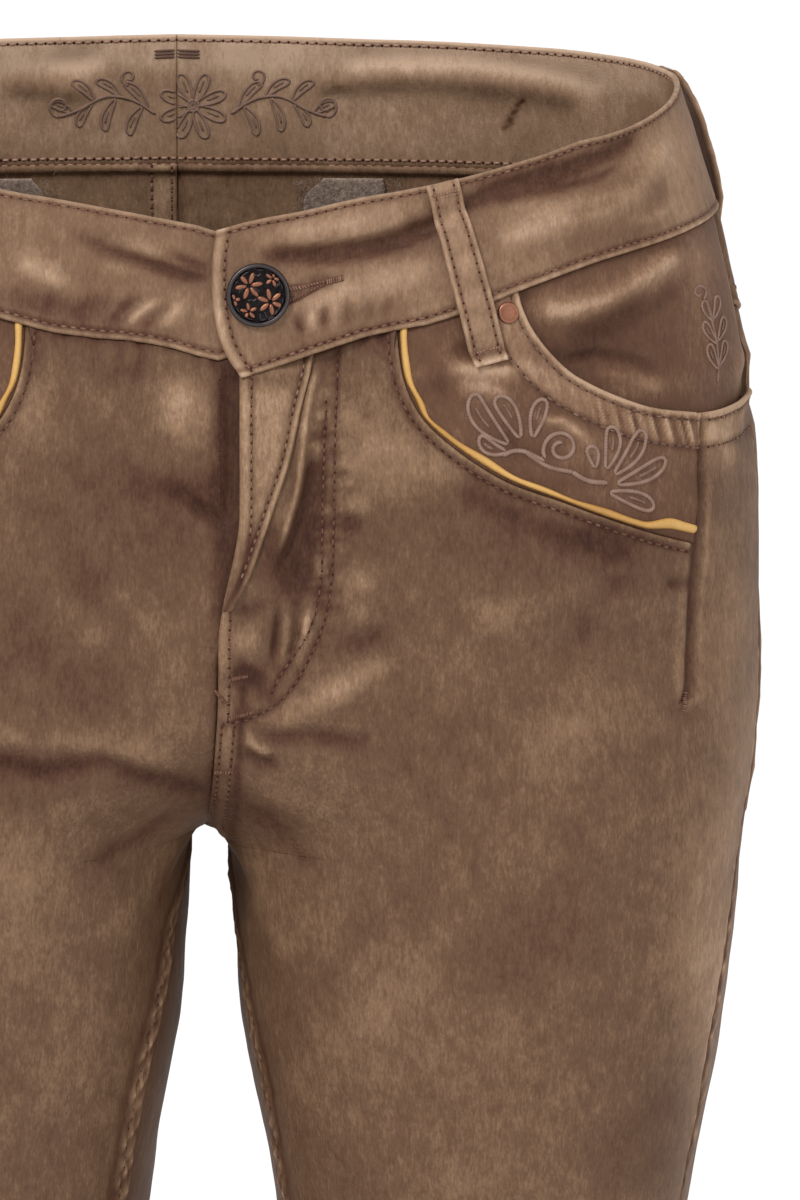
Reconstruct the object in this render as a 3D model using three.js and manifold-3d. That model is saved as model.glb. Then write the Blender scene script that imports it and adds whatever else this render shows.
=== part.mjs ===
// Lederhosen-style slim jeans, filled out as worn and empty inside.
// Millimetres, +Z up, front towards -Y, +X on the wearer's left.
// Origin: middle of the waist opening, level with the waist seam over the side seams.
import * as THREE from "three";
import { mergeVertices } from "three/addons/utils/BufferGeometryUtils.js";
import Module from "manifold-3d";

const wasm = await Module();
wasm.setup();

// ---------------------------------------------------------------- driving dimensions
const CLOTH = 1.4;               // one layer of sateen
const BAND_CLOTH = 2.2;          // waistband, folded double
const LOOP_CLOTH = 1.8;          // belt loop, folded
const GAP = 0.3;                 // between neighbouring pieces
const HEM_Z = -1005;             // leg end
const CROTCH_Z = -229;           // lowest point of the crotch seam
const HEM_TURN = 20;             // height of the turned-up hem
const SADDLE = 8;                // height over which the crotch seam rounds into the inseams
const FRONT_RISE = 78;           // height of the front crotch curve
const BACK_RISE = 105;           // height of the back crotch curve
const SQUARENESS = 0.035;        // how far the sections depart from ellipses
const SADDLE_REACH = 0.14;       // share of the leg width over which the saddle fades out
const SIDE_ANGLE = 83;           // degrees round the trunk from centre front to the side seam
const INSEAM_TURN = 14;          // degrees that the inseam moves forward below the crotch

const FLY_EDGE_X = 7;            // fly edge on the wearer's left of the centre line
const FLY_FROM_Z = -95;          // the edge starts to run back to the centre line
const FLY_TO_Z = -150;           // and reaches it
const FLY_LIFT = 2.0;            // the left front laps over the zip
const BAND_LIFT = BAND_CLOTH + 1.2;   // the left band end laps over the right one
const BAND_LAP = 38;             // length of the right band under the left
const BAND_END_TOP_X = 1.4;      // the left band end's top and low corner
const BAND_END_LOW_X = 8.0;
const BAND_END_DROP = 4;         // the left band end hangs lower, the right one higher

const BUTTON = { x: 14.5, z: -25.2, radius: 11.5, thick: 2.6, shank: 3.2 };
const RIVET = { x: 103.5, z: -31, radius: 3.9, thick: 1.3 };
const BUTTONHOLE = { radius: 4.2, tail: 18, width: 2.4 };
const ZIP = { fromX: -8, toX: 27, topZ: -58, lowZ: -146, depth: 3.0, cloth: 0.8, teethX: 15.5 };
const SLIDER = { topZ: -60, lowZ: -79, width: 7.5, thick: 2.2 };
const FACING_SUNK = 0.5;         // the facing lies a little behind the mouth
const BACK_TURN = 15;            // centre back of the waist sits this far to the wearer's right
const BACKING = { x: 63, halfWidth: 23, topZ: 4, lowZ: -44 };

// Level sections of the left half: inner and outer side from the centre line, depth to
// the front and to the back. Above the crotch the inner side only shapes the saddle.
const SECTIONS = table(["z", "inner", "outer", "front", "back"], [
  [75, 0, 168, 92, 97],
  [50, 0, 173, 94, 100],
  [30, 0, 179.5, 96, 103],
  [16, 0, 182, 98, 105],
  [0, 0, 184.5, 100, 108],
  [-30, 0, 188.5, 103, 114],
  [-60, 0, 193, 106, 120],
  [-90, 0, 196, 109, 124],
  [-130, 2, 197.5, 110, 126],
  [-165, 4, 197, 108, 124],
  [-195, 5.5, 195, 105, 118],
  [CROTCH_Z, 6.5, 191.5, 102, 109],
  [-268, 9, 187.5, 99, 100],
  [-312, 14.5, 181, 96, 93],
  [-356, 21.8, 173, 92, 87],
  [-400, 28.5, 165.5, 87, 82],
  [-450, 33.5, 158.5, 81, 76],
  [-500, 36.5, 153, 74, 70],
  [-560, 39, 149, 67, 63],
  [-640, 39, 147, 60, 65],
  [-720, 39, 146, 55, 69],
  [-800, 41.5, 142, 50, 65],
  [-900, 45, 137, 46, 57],
  [HEM_Z, 48.5, 133, 44, 53],
]);

// Height of the band's top edge and of the waist seam, by the angle from centre front.
const WAIST = table(["angle", "top", "seam"], [
  [0, -3.5, -48],
  [8, 4.5, -42],
  [16, 11, -35.5],
  [24, 16.2, -29.5],
  [34, 23, -20.5],
  [44, 29.5, -12.8],
  [60, 36.5, -6],
  [74, 41.8, -2],
  [90, 47.5, 1],
  [104, 51, 3],
  [120, 53.4, 4.6],
  [143, 55.8, 6],
  [180, 58.8, 7],
]);

// Yoke seam, by the angle from centre front.
const YOKE = table(["angle", "z"], [
  [SIDE_ANGLE, -34],
  [110, -45],
  [140, -58],
  [180, -72],
]);

// Outlines on the front, by distance along them.
const FRONT_EDGE = outline([
  [63.5, -32],
  [66, -54],
  [71.5, -67],
  [79, -75.5],
  [92, -85.5],
  [104.5, -93],
  [122, -100],
  [137, -106],
  [155, -112],
  [171, -117.5],
]);
const MOUTH = outline([
  [106, -23],
  [111.4, -35.7],
  [119, -46],
  [129.2, -54.9],
  [152.3, -65.6],
  [173, -69.7],
]);
const MOUTH_SIDE_Z = -64;        // height of the mouth where it meets the side seam
const RIGHT_OUT = 4.5;           // the right pocket, rivet and front loop lie further out
const WEDGE_RIDGE = outline([
  [35, -44],
  [30, -63],
  [25.5, -83],
  [19, -102],
  [12, -122],
  [8, -131],
]);

// Belt loops: where the middle of the top and of the low end lie, and how far each bows out.
const RIGHT_LOOP_TURN = 1.5;     // degrees by which the right front loop lies further out
const LOOPS = [
  { name: "front", topAngle: 22.9, lowAngle: 27.1, topRise: 0, lowZ: -49, bow: 0.9 },
  { name: "side", topAngle: 101, lowAngle: 106, topRise: 1, lowZ: -17, bow: 3.0 },
  { name: "back", topAngle: 180, lowAngle: 180, topRise: 1, lowZ: -8, bow: 2.2 },
];
const LOOP_WIDTH = 11.5;

// Back pocket on the wearer's left, by distance from the centre line and height.
const BACK_POCKET = [
  [52, -91],
  [162, -80],
  [157, -168],
  [108, -190],
  [58, -175],
];

// ---------------------------------------------------------------- colours
const MATERIALS = {
  sateen: cloth(0x7a5d49),
  band: cloth(0x8a6c56),
  embroidered: cloth(0x624a38),
  leather: new THREE.MeshStandardMaterial({ color: 0xc79c5a, roughness: 0.6, metalness: 0 }),
  backing: cloth(0x6f6055),
  tape: cloth(0x3a2e28),
  copper: new THREE.MeshStandardMaterial({ color: 0x92644f, roughness: 0.4, metalness: 1 }),
  gunmetal: new THREE.MeshStandardMaterial({ color: 0x3c3434, roughness: 0.4, metalness: 1 }),
};

function cloth(color) {
  return new THREE.MeshStandardMaterial({ color, roughness: 0.85, metalness: 0 });
}

// ---------------------------------------------------------------- tables and outlines
function table(columns, rows) {
  const sorted = [...rows].sort((a, b) => a[0] - b[0]);
  return { keys: sorted.map((row) => row[0]), columns, rows: sorted };
}

// Smooth value of a column at a key, through the rows on both sides of it.
function read(from, key, column) {
  const { keys, rows } = from;
  const c = from.columns.indexOf(column);
  const last = keys.length - 1;
  const x = Math.min(Math.max(key, keys[0]), keys[last]);
  let i = 0;
  while (i < last - 1 && keys[i + 1] <= x) i += 1;
  const slope = (k) => {
    const a = Math.max(k - 1, 0);
    const b = Math.min(k + 1, last);
    return (rows[b][c] - rows[a][c]) / (keys[b] - keys[a]);
  };
  const h = keys[i + 1] - keys[i];
  const t = (x - keys[i]) / h;
  const r = 1 - t;
  return (1 + 2 * t) * r * r * rows[i][c] + t * r * r * h * slope(i)
    + t * t * (3 - 2 * t) * rows[i + 1][c] + t * t * (t - 1) * h * slope(i + 1);
}

function outline(points) {
  let length = 0;
  const rows = points.map(([x, z], i) => {
    if (i > 0) length += Math.hypot(x - points[i - 1][0], z - points[i - 1][1]);
    return [length, x, z];
  });
  return { ...table(["s", "x", "z"], rows), length };
}

function onOutline(line, t, side = 1) {
  const s = t * line.length;
  const x = read(line, s, "x");
  return { x: x + furtherOut(x, side), z: read(line, s, "z") };
}

function furtherOut(x, side) {
  return side < 0 ? RIGHT_OUT * (1 - ease(95, 160, x)) : 0;
}

function ease(from, to, value) {
  const t = Math.min(Math.max((value - from) / (to - from), 0), 1);
  return t * t * (3 - 2 * t);
}

function quarterRound(value) {
  const t = Math.min(Math.max(value, 0), 1);
  return Math.sqrt(1 - (1 - t) ** 2);
}

const mix = (a, b, t) => a + (b - a) * t;
const radians = THREE.MathUtils.degToRad;

// ---------------------------------------------------------------- the garment's form
// u runs once round the left half: 0 at centre front and inseam, 1 at the side seam,
// 2 at centre back and inseam. The trunk form also reads a little past both ends.
function angleAt(u) {
  return u <= 1 ? u * SIDE_ANGLE : SIDE_ANGLE + (u - 1) * (180 - SIDE_ANGLE);
}

function atAngle(angle) {
  return angle <= SIDE_ANGLE ? angle / SIDE_ANGLE : 1 + (angle - SIDE_ANGLE) / (180 - SIDE_ANGLE);
}

const roundSine = (a) => (Math.sin(a) + SQUARENESS * Math.sin(3 * a)) / (1 - SQUARENESS);
const roundCosine = (a) => (Math.cos(a) - SQUARENESS * Math.cos(3 * a)) / (1 - SQUARENESS);

// A section starts at centre front and ends at centre back. Above the crotch both ends
// lie on the crotch seam, which dips in a quarter round from the front and the back.
function formPoint(u, z) {
  const front = u <= 1;
  const side = radians(90 + SIDE_ANGLE);
  const turned = radians(INSEAM_TURN) * ease(0, 90, CROTCH_Z - z);
  const up = Math.min(Math.max((z - CROTCH_Z) / (front ? FRONT_RISE : BACK_RISE), 0), 1);
  const seam = Math.acos(1 - up);
  const dip = seam * Math.abs(1 - u) ** (2.4 - 1.4 * up);
  const a = front ? mix(turned, side, u) + dip : mix(side, 2 * Math.PI + turned, u - 1) - dip;
  const inner = read(SECTIONS, z, "inner");
  const outer = read(SECTIONS, z, "outer");
  const across = (angle) => (1 - roundCosine(angle)) / 2;
  const n = across(a);
  const start = across(seam);
  const local = 1 - ease(0, SADDLE_REACH, n - start);
  const even = (1 - n) / (1 - start);
  const above = mix(local, even, ease(0, 0.5, up));
  const below = local * (1 - quarterRound((CROTCH_Z - z) / SADDLE));
  const s = roundSine(a);
  const x = mix(inner, outer, n) - mix(inner, outer, start) * (up > 0 ? above : below);
  return new THREE.Vector3(x, -s * read(SECTIONS, z, s > 0 ? "front" : "back"), z);
}

function formNormal(u, z) {
  const du = 0.004;
  const dz = 1;
  const past = z > FLY_TO_Z ? 0.1 : 0;
  const inRange = (v) => Math.min(Math.max(v, -past), 2 + past);
  const round = formPoint(inRange(u + du), z).sub(formPoint(inRange(u - du), z));
  const rise = formPoint(u, z + dz).sub(formPoint(u, z - dz));
  return round.cross(rise).normalize();
}

// Parameter of the front or of the trunk's back at a distance from the centre line.
function uAtX(x, z, low = -0.1, high = 1) {
  const rising = high <= 1;
  for (let i = 0; i < 26; i += 1) {
    const middle = (low + high) / 2;
    const below = formPoint(middle, z).x < x;
    if (below === rising) low = middle;
    else high = middle;
  }
  return (low + high) / 2;
}

// side is 1 for the wearer's left and -1 for the right. Where the two sides differ,
// a function takes the side and answers for the left half's parameters.
function seamZ(u, side) {
  const angle = Math.abs(angleAt(u));
  const end = 1 - ease(0, 20, angle);
  return read(WAIST, angle > 180 ? 360 - angle : angle, "seam") - side * BAND_END_DROP * end;
}

function bandTopZ(u) {
  const angle = Math.abs(angleAt(u));
  return read(WAIST, angle > 180 ? 360 - angle : angle, "top");
}

function flyEdgeX(z, side) {
  return side * FLY_EDGE_X * (1 - ease(FLY_FROM_Z, FLY_TO_Z, z));
}

function frontLift(x, z, side) {
  if (side < 0) return 0;
  return FLY_LIFT * (1 - ease(11, 34, x)) * ease(FLY_TO_Z - 12, FLY_TO_Z + 30, z);
}

function bandLift(p, side) {
  if (side < 0 || p.y > 0) return 0;
  return BAND_LIFT * (1 - ease(BAND_LAP + 2, BAND_LAP + 26, p.x));
}

// ---------------------------------------------------------------- solids
// A wall of cloth over a grid of (u, z): out(s, t) gives its inner and outer distance
// from the form. Every edge is drawn in by half a seam gap, or by the margin given.
function wall({ columns, rows, at, out, side = 1, margin = GAP / 2, minX = null }) {
  const layer = (which) => {
    const grid = rows.map((t) => columns.map((s) => {
      const { u, z } = at(s, t);
      const p = formPoint(u, z);
      const distance = out(s, t, p)[which];
      return p.addScaledVector(formNormal(u, z), distance);
    }));
    return minX === null ? drawIn(grid, margin) : keepOff(drawIn(grid, margin), minX);
  };
  return closedGrid(layer(0), layer(1), side);
}

function drawIn(grid, margin) {
  const low = grid.length - 1;
  const end = grid[0].length - 1;
  const towards = (p, q) => p.add(q.clone().sub(p).setLength(Math.min(margin, p.distanceTo(q) / 2)));
  grid.forEach((row) => {
    towards(row[0], row[1]);
    towards(row[end], row[end - 1]);
  });
  grid[0].forEach((p, i) => towards(p, grid[1][i]));
  grid[low].forEach((p, i) => towards(p, grid[low - 1][i]));
  return grid;
}

function keepOff(grid, minX) {
  grid.forEach((row) => row.forEach((p) => {
    p.x = Math.max(p.x, minX(p.z));
  }));
  return grid;
}

function closedGrid(inner, outer, side) {
  const height = inner.length;
  const width = inner[0].length;
  const positions = [];
  [inner, outer].forEach((grid) => grid.forEach((row) => row.forEach((p) => {
    positions.push(p.x * side, p.y, p.z);
  })));
  const id = (layer, j, i) => layer * height * width + j * width + i;
  const faces = [];
  const quad = (a, b, c, d) => faces.push([a, b, c], [a, c, d]);
  for (let j = 0; j < height - 1; j += 1) {
    for (let i = 0; i < width - 1; i += 1) {
      quad(id(1, j, i), id(1, j, i + 1), id(1, j + 1, i + 1), id(1, j + 1, i));
      quad(id(0, j, i), id(0, j + 1, i), id(0, j + 1, i + 1), id(0, j, i + 1));
    }
  }
  for (let i = 0; i < width - 1; i += 1) {
    quad(id(0, 0, i), id(0, 0, i + 1), id(1, 0, i + 1), id(1, 0, i));
    quad(id(1, height - 1, i), id(1, height - 1, i + 1), id(0, height - 1, i + 1), id(0, height - 1, i));
  }
  for (let j = 0; j < height - 1; j += 1) {
    quad(id(1, j, 0), id(1, j + 1, 0), id(0, j + 1, 0), id(0, j, 0));
    quad(id(0, j, width - 1), id(0, j + 1, width - 1), id(1, j + 1, width - 1), id(1, j, width - 1));
  }
  const flip = side < 0;
  const geometry = new THREE.BufferGeometry();
  geometry.setAttribute("position", new THREE.Float32BufferAttribute(positions, 3));
  geometry.setIndex(faces.flatMap(([a, b, c]) => (flip ? [a, c, b] : [a, b, c])));
  return outwards(geometry);
}

// Faces point out: a solid's signed volume is positive.
function outwards(geometry) {
  const p = geometry.getAttribute("position");
  const index = geometry.getIndex().array;
  const corner = [new THREE.Vector3(), new THREE.Vector3(), new THREE.Vector3()];
  let volume = 0;
  for (let i = 0; i < index.length; i += 3) {
    corner.forEach((v, k) => v.fromBufferAttribute(p, index[i + k]));
    volume += corner[0].dot(corner[1].clone().cross(corner[2]));
  }
  if (volume < 0) {
    for (let i = 0; i < index.length; i += 3) [index[i + 1], index[i + 2]] = [index[i + 2], index[i + 1]];
  }
  return geometry;
}

function steps(count, from = 0, to = 1) {
  return Array.from({ length: count + 1 }, (_, i) => mix(from, to, i / count));
}

// ---------------------------------------------------------------- joining and cutting
function toManifold(geometry) {
  const bare = geometry.clone();
  bare.deleteAttribute("normal");
  bare.deleteAttribute("uv");
  const merged = mergeVertices(bare, 1e-4);
  return new wasm.Manifold(new wasm.Mesh({
    numProp: 3,
    vertProperties: new Float32Array(merged.getAttribute("position").array),
    triVerts: new Uint32Array(merged.getIndex().array),
  }));
}

function fromManifold(solid) {
  const mesh = solid.getMesh();
  const geometry = new THREE.BufferGeometry();
  const positions = [];
  for (let i = 0; i < mesh.numVert; i += 1) {
    for (let k = 0; k < 3; k += 1) positions.push(mesh.vertProperties[i * mesh.numProp + k]);
  }
  geometry.setAttribute("position", new THREE.Float32BufferAttribute(positions, 3));
  geometry.setIndex(Array.from(mesh.triVerts));
  return geometry;
}

function cut(geometry, ...cutters) {
  let solid = toManifold(geometry);
  cutters.forEach((cutter) => {
    solid = solid.subtract(toManifold(cutter));
  });
  const pieces = solid.decompose().sort((a, b) => b.volume() - a.volume());
  return fromManifold(pieces[0]);
}

function join(first, ...others) {
  let solid = toManifold(first);
  others.forEach((other) => {
    solid = solid.add(toManifold(other));
  });
  return fromManifold(solid);
}

// Turns a shape made along +Z so that +Z points out of the form at (u, z).
function seat(geometry, u, z, out, side) {
  const p = formPoint(u, z);
  const n = formNormal(u, z);
  p.addScaledVector(n, out);
  if (side < 0) {
    p.x *= -1;
    n.x *= -1;
  }
  const across = new THREE.Vector3(0, 0, 1).cross(n).normalize();
  const up = n.clone().cross(across);
  geometry.applyMatrix4(new THREE.Matrix4().makeBasis(across, up, n).setPosition(p));
  return geometry;
}

// ---------------------------------------------------------------- rows of the main panels
const LEG_ROWS = [
  HEM_Z, HEM_Z + HEM_TURN, -920, -850, -780, -710, -640, -570, -505, -445, -390, -340, -300, -267,
  ...[90, 60, 30].map((turn) => CROTCH_Z - SADDLE * (1 - Math.cos(radians(turn)))),
];
const TRUNK_ROWS = [
  ...[0, 18, 34, 50, 64, 78].map((turn) => (1 - Math.cos(radians(turn))) * 0.42),
  0.47, 0.58, 0.69, 0.8, 0.9, 1,
];
const PANEL_ROWS = [...LEG_ROWS.map((z) => ({ z })), ...TRUNK_ROWS.map((part) => ({ part }))];

function panelZ(row, top) {
  return row.part === undefined ? row.z : mix(CROTCH_Z, top, row.part);
}

function panelOut(z, lift = 0) {
  const inside = z < HEM_Z + HEM_TURN + 1 ? -CLOTH * 0.8 : 0;
  return [inside + lift, CLOTH + lift];
}

function frontPanel(side) {
  const whole = wall({
    side,
    columns: steps(10),
    rows: PANEL_ROWS,
    at: (s, row) => {
      const z0 = panelZ(row, seamZ(0, side));
      const start = z0 > FLY_TO_Z ? uAtX(flyEdgeX(z0, side), z0) : 0;
      const u = mix(start, 1, s);
      return { u, z: panelZ(row, seamZ(u, side)) };
    },
    out: (s, row, p) => panelOut(p.z, frontLift(p.x, p.z, side)),
    minX: (z) => (z > CROTCH_Z ? flyEdgeX(z, side) : 0) + GAP / 2,
  });
  return cut(whole, cutter(insetAt, INSET_GRID, side), cutter(facingAt, FACING_GRID, side));
}

const BACK_GRID = { columns: steps(10, 1, 2), rows: PANEL_ROWS };
const backAt = (u, row) => ({ u, z: panelZ(row, read(YOKE, angleAt(u), "z")) });

function backPanel(side) {
  return wall({
    side,
    ...BACK_GRID,
    at: backAt,
    out: (s, row, p) => panelOut(p.z),
    minX: () => GAP / 2,
  });
}

function yoke(side) {
  return wall({
    side,
    columns: steps(12),
    rows: steps(3),
    at: (s, t) => {
      const u = mix(1, 2, s);
      return { u, z: mix(read(YOKE, angleAt(u), "z"), seamZ(u, side), t) };
    },
    out: () => [0, CLOTH],
    minX: () => GAP / 2,
  });
}

function waistband(side) {
  const whole = wall({
    side,
    columns: [...steps(10, 0, 0.45), ...steps(14, 0.45, 1).slice(1)],
    rows: steps(3),
    at: (s, t) => {
      const seam = seamZ(0, side);
      const endX = side > 0 ? mix(BAND_END_LOW_X, BAND_END_TOP_X, t) : -BAND_LAP;
      const start = uAtX(endX, mix(seam, bandTopZ(0), t), -0.3);
      const u = mix(start, 2, s);
      return { u, z: mix(seamZ(u, side), bandTopZ(u), t) };
    },
    out: (s, t, p) => [0, BAND_CLOTH].map((out) => out + bandLift(p, side)),
    minX: side > 0 ? () => GAP / 2 : null,
  });
  return side > 0 ? cut(whole, buttonholeCutter()) : whole;
}

// Keyhole: a round eye for the shank and a slit towards the side.
function buttonholeCutter() {
  const { radius, tail, width } = BUTTONHOLE;
  const eye = new THREE.CylinderGeometry(radius, radius, 20, 16).rotateX(Math.PI / 2);
  const slit = new THREE.BoxGeometry(tail, width, 20).translate(tail / 2, 0, 0);
  const hole = join(eye, slit);
  return seat(hole, uAtX(BUTTON.x, BUTTON.z), BUTTON.z, 0, 1);
}

// ---------------------------------------------------------------- pocket
const INSET_GRID = { columns: steps(14), rows: steps(4) };
const FACING_GRID = { columns: steps(12), rows: steps(3) };
const MOUTH_PART = 0.7;          // share of the facing's columns that lie over the inset's mouth

function insetAt(s, t, side) {
  const low = onOutline(FRONT_EDGE, s, side);
  const high = onOutline(MOUTH, s, side);
  const z = mix(low.z, high.z, t);
  return { u: uAtX(mix(low.x, high.x, t), z), z };
}

// t runs from the mouth to the waist seam.
function facingAt(s, t, side) {
  const beside = (s - MOUTH_PART) / (1 - MOUTH_PART);
  const { u, z } = beside <= 0 ? overMouth(s / MOUTH_PART, side) : besideMouth(beside);
  return { u, z: mix(z, seamZ(u, side), t) };
}

function overMouth(s, side) {
  const { x, z } = onOutline(MOUTH, mix(0.03, 1, s), side);
  return { u: uAtX(x, z), z };
}

function besideMouth(s) {
  const start = onOutline(MOUTH, 1);
  return { u: mix(uAtX(start.x, start.z), 1, s), z: mix(start.z, MOUTH_SIDE_Z, s) };
}

// Cuts the front panel along a pocket piece, and on up through the waist seam.
function cutter(at, { columns, rows }, side) {
  return wall({
    side,
    margin: 0,
    columns,
    rows,
    at: (s, t) => {
      const { u, z } = at(s, t, side);
      return { u: s === 1 && u > 0.99 ? 1.03 : u, z: t === 1 && at === facingAt ? z + 12 : z };
    },
    out: () => [-4, 6],
  });
}

// Drawn in by a whole gap, because the front panel is cut on the same outline.
function pocketInset(side) {
  return wall({
    side,
    margin: GAP,
    ...INSET_GRID,
    at: (s, t) => {
      const { u, z } = insetAt(s, t, side);
      return { u, z: Math.min(z, seamZ(u, side)) };
    },
    out: () => [0, CLOTH],
  });
}

function pocketFacing(side) {
  return wall({
    side,
    margin: GAP,
    ...FACING_GRID,
    at: (s, t) => facingAt(s, t, side),
    out: () => [-FACING_SUNK, CLOTH - FACING_SUNK],
  });
}

// Leather piping: a strip lying on the inset, along the front panel's edge.
function piping(side) {
  const width = 3.4;
  return wall({
    side,
    columns: steps(14, 0.03, 0.985),
    rows: steps(1),
    at: (s, t) => {
      const p = onOutline(FRONT_EDGE, s, side);
      const q = onOutline(FRONT_EDGE, Math.min(s + 0.01, 1), side);
      const r = onOutline(FRONT_EDGE, Math.max(s - 0.01, 0), side);
      const length = Math.hypot(q.x - r.x, q.z - r.z);
      const away = 0.7 + t * width;
      const x = p.x - (q.z - r.z) / length * away;
      const z = p.z + (q.x - r.x) / length * away;
      return { u: uAtX(x, z), z };
    },
    out: () => [CLOTH + GAP, CLOTH + GAP + 1.5],
  });
}

// ---------------------------------------------------------------- fly
// Folded cloth on the left front, from the waist seam down to the fly edge.
function flyWedge() {
  return wall({
    columns: steps(4),
    rows: steps(8),
    at: (s, t) => {
      const ridge = onOutline(WEDGE_RIDGE, 1 - t);
      const seam = seamZ(uAtX(ridge.x, ridge.z), 1);
      const x = mix(flyEdgeX(ridge.z, 1) + 0.6, ridge.x, s);
      const z = Math.min(ridge.z, seam - 1);
      return { u: uAtX(x, z), z: t === 1 ? seamZ(uAtX(x, z), 1) - 0.4 : z };
    },
    out: (s, t, p) => [0, 1.2].map((out) => CLOTH + GAP + out + frontLift(p.x, p.z, 1)),
  });
}

// The zip lies under the lap: its middle is sunk to leave room for the slider.
function tapeOut(x) {
  const sunk = ease(6, 11, x) * (1 - ease(20, 25, x));
  return -2.5 * GAP - ZIP.cloth - ZIP.depth * sunk;
}

function zipTape() {
  return wall({
    columns: [ZIP.fromX, 0, 6, 11, 20, 25, ZIP.toX],
    rows: steps(4),
    at: (x, t) => {
      const z = mix(ZIP.lowZ, ZIP.topZ, t);
      return { u: uAtX(x, z), z };
    },
    out: (x) => [0, ZIP.cloth].map((out) => out + tapeOut(x)),
  });
}

// Slider body with its pull folded down on it.
function zipSlider() {
  const half = SLIDER.width / 2;
  const height = SLIDER.topZ - SLIDER.lowZ;
  const outlineShape = new THREE.Shape();
  outlineShape.moveTo(-half, height / 2);
  outlineShape.lineTo(-half, height * 0.2);
  outlineShape.lineTo(-half * 0.55, 0);
  outlineShape.lineTo(-half * 0.55, -height / 2);
  outlineShape.lineTo(half * 0.55, -height / 2);
  outlineShape.lineTo(half * 0.55, 0);
  outlineShape.lineTo(half, height * 0.2);
  outlineShape.lineTo(half, height / 2);
  const body = new THREE.ExtrudeGeometry(outlineShape, {
    depth: SLIDER.thick,
    bevelEnabled: false,
  });
  const z = (SLIDER.topZ + SLIDER.lowZ) / 2;
  return seat(body, uAtX(ZIP.teethX, z), z, tapeOut(ZIP.teethX) + ZIP.cloth + GAP, 1);
}

// ---------------------------------------------------------------- trims
function buttonSolid() {
  const { radius, thick, shank } = BUTTON;
  const low = BAND_CLOTH + GAP;                       // just off the right band
  const under = BAND_LIFT + BAND_CLOTH + GAP;         // just off the left band
  const profile = [
    [0, low],
    [shank, low],
    [shank, under],
    [radius - 0.8, under],
    [radius, under + 0.8],
    [radius, under + thick * 0.6],
    [radius - 1, under + thick],
    [radius - 2.2, under + thick * 0.85],
    [0, under + thick * 0.8],
  ].map(([r, h]) => new THREE.Vector2(r, h));
  const turned = new THREE.LatheGeometry(profile, 24).rotateX(Math.PI / 2);
  return seat(solidOf(turned), uAtX(BUTTON.x, BUTTON.z), BUTTON.z, 0, 1);
}

function rivet(side) {
  const { radius, thick } = RIVET;
  const profile = [
    [0, 0],
    [radius - 0.3, 0],
    [radius, 0.4],
    [radius - 0.5, thick],
    [radius * 0.5, thick * 0.8],
    [0, thick * 0.75],
  ].map(([r, h]) => new THREE.Vector2(r, h));
  const turned = new THREE.LatheGeometry(profile, 16).rotateX(Math.PI / 2);
  const x = RIVET.x + furtherOut(RIVET.x, side);
  return seat(solidOf(turned), uAtX(x, RIVET.z), RIVET.z, CLOTH + GAP * 1.3, side);
}

// A lathe's seam and poles are merged, which closes it.
function solidOf(geometry) {
  return outwards(fromManifold(toManifold(geometry)));
}

function beltLoop(loop, side) {
  const half = LOOP_WIDTH / 2;
  const turn = side < 0 && loop.name === "front" ? RIGHT_LOOP_TURN : 0;
  const angle = (t) => mix(loop.lowAngle, loop.topAngle, t) + turn;
  return wall({
    side,
    margin: 0,
    columns: steps(2),
    rows: [0, 0.07, 0.2, 0.35, 0.5, 0.65, 0.8, 0.93, 1],
    at: (s, t) => {
      const top = bandTopZ(atAngle(angle(1))) + loop.topRise;
      const z = mix(loop.lowZ, top, t);
      const middle = atAngle(angle(t));
      const near = formPoint(middle - 0.01, z);
      const perStep = formPoint(middle + 0.01, z).sub(near).length() / 0.02;
      const across = (s - 0.5) * 2 * half;
      const tilt = (loop.topAngle - loop.lowAngle) * 1.4 / 90;
      return { u: middle + across / perStep, z: z - across * tilt };
    },
    out: (s, t, p) => {
      const seam = seamZ(atAngle(angle(t)), side);
      const seatOut = mix(CLOTH, BAND_CLOTH, ease(seam - 9, seam - 1, p.z)) + GAP * 1.2;
      const low = seatOut + loop.bow * Math.sin(Math.PI * t) ** 0.6;
      return [low, low + LOOP_CLOTH];
    },
  });
}

// Made on the back panel's own points and cut to its outline.
function backPocket(side) {
  const blank = wall({
    side,
    ...BACK_GRID,
    at: backAt,
    out: () => [CLOTH + GAP, 2 * CLOTH + GAP],
    minX: () => GAP / 2,
  });
  const shape = new THREE.Shape(BACK_POCKET.map(([x, z]) => new THREE.Vector2(x * side, z)));
  const prism = new THREE.ExtrudeGeometry(shape, { depth: 200, bevelEnabled: false });
  prism.rotateX(Math.PI / 2).translate(0, 201, 0);
  return fromManifold(toManifold(blank).intersect(toManifold(prism)));
}

// Embroidery backing, fused to the inside of the yoke.
function backing(side) {
  const { x, halfWidth, topZ, lowZ } = BACKING;
  return wall({
    side,
    columns: steps(5),
    rows: [0.02, 0.2, 0.5, 0.8, 0.98],
    at: (s, t) => {
      const z = mix(lowZ, topZ, t);
      const half = halfWidth * (0.55 + 0.45 * Math.sin(Math.PI * t));
      return { u: uAtX(x - half * (2 * s - 1), z, 1, 2), z };
    },
    out: () => [-2.5 * GAP - 0.9, -2.5 * GAP],
  });
}

// ---------------------------------------------------------------- the part
const part = new THREE.Group();

// The waist is worn turned a little, which fades out down to the seat and to the sides.
function backTurned(geometry) {
  const p = geometry.getAttribute("position");
  for (let i = 0; i < p.count; i += 1) {
    const turn = BACK_TURN * ease(0, 100, p.getY(i)) * ease(-150, -20, p.getZ(i));
    p.setX(i, p.getX(i) - turn);
  }
  return geometry;
}

function add(name, geometry, material) {
  const mesh = new THREE.Mesh(backTurned(geometry), MATERIALS[material]);
  mesh.name = name;
  part.add(mesh);
}

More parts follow.
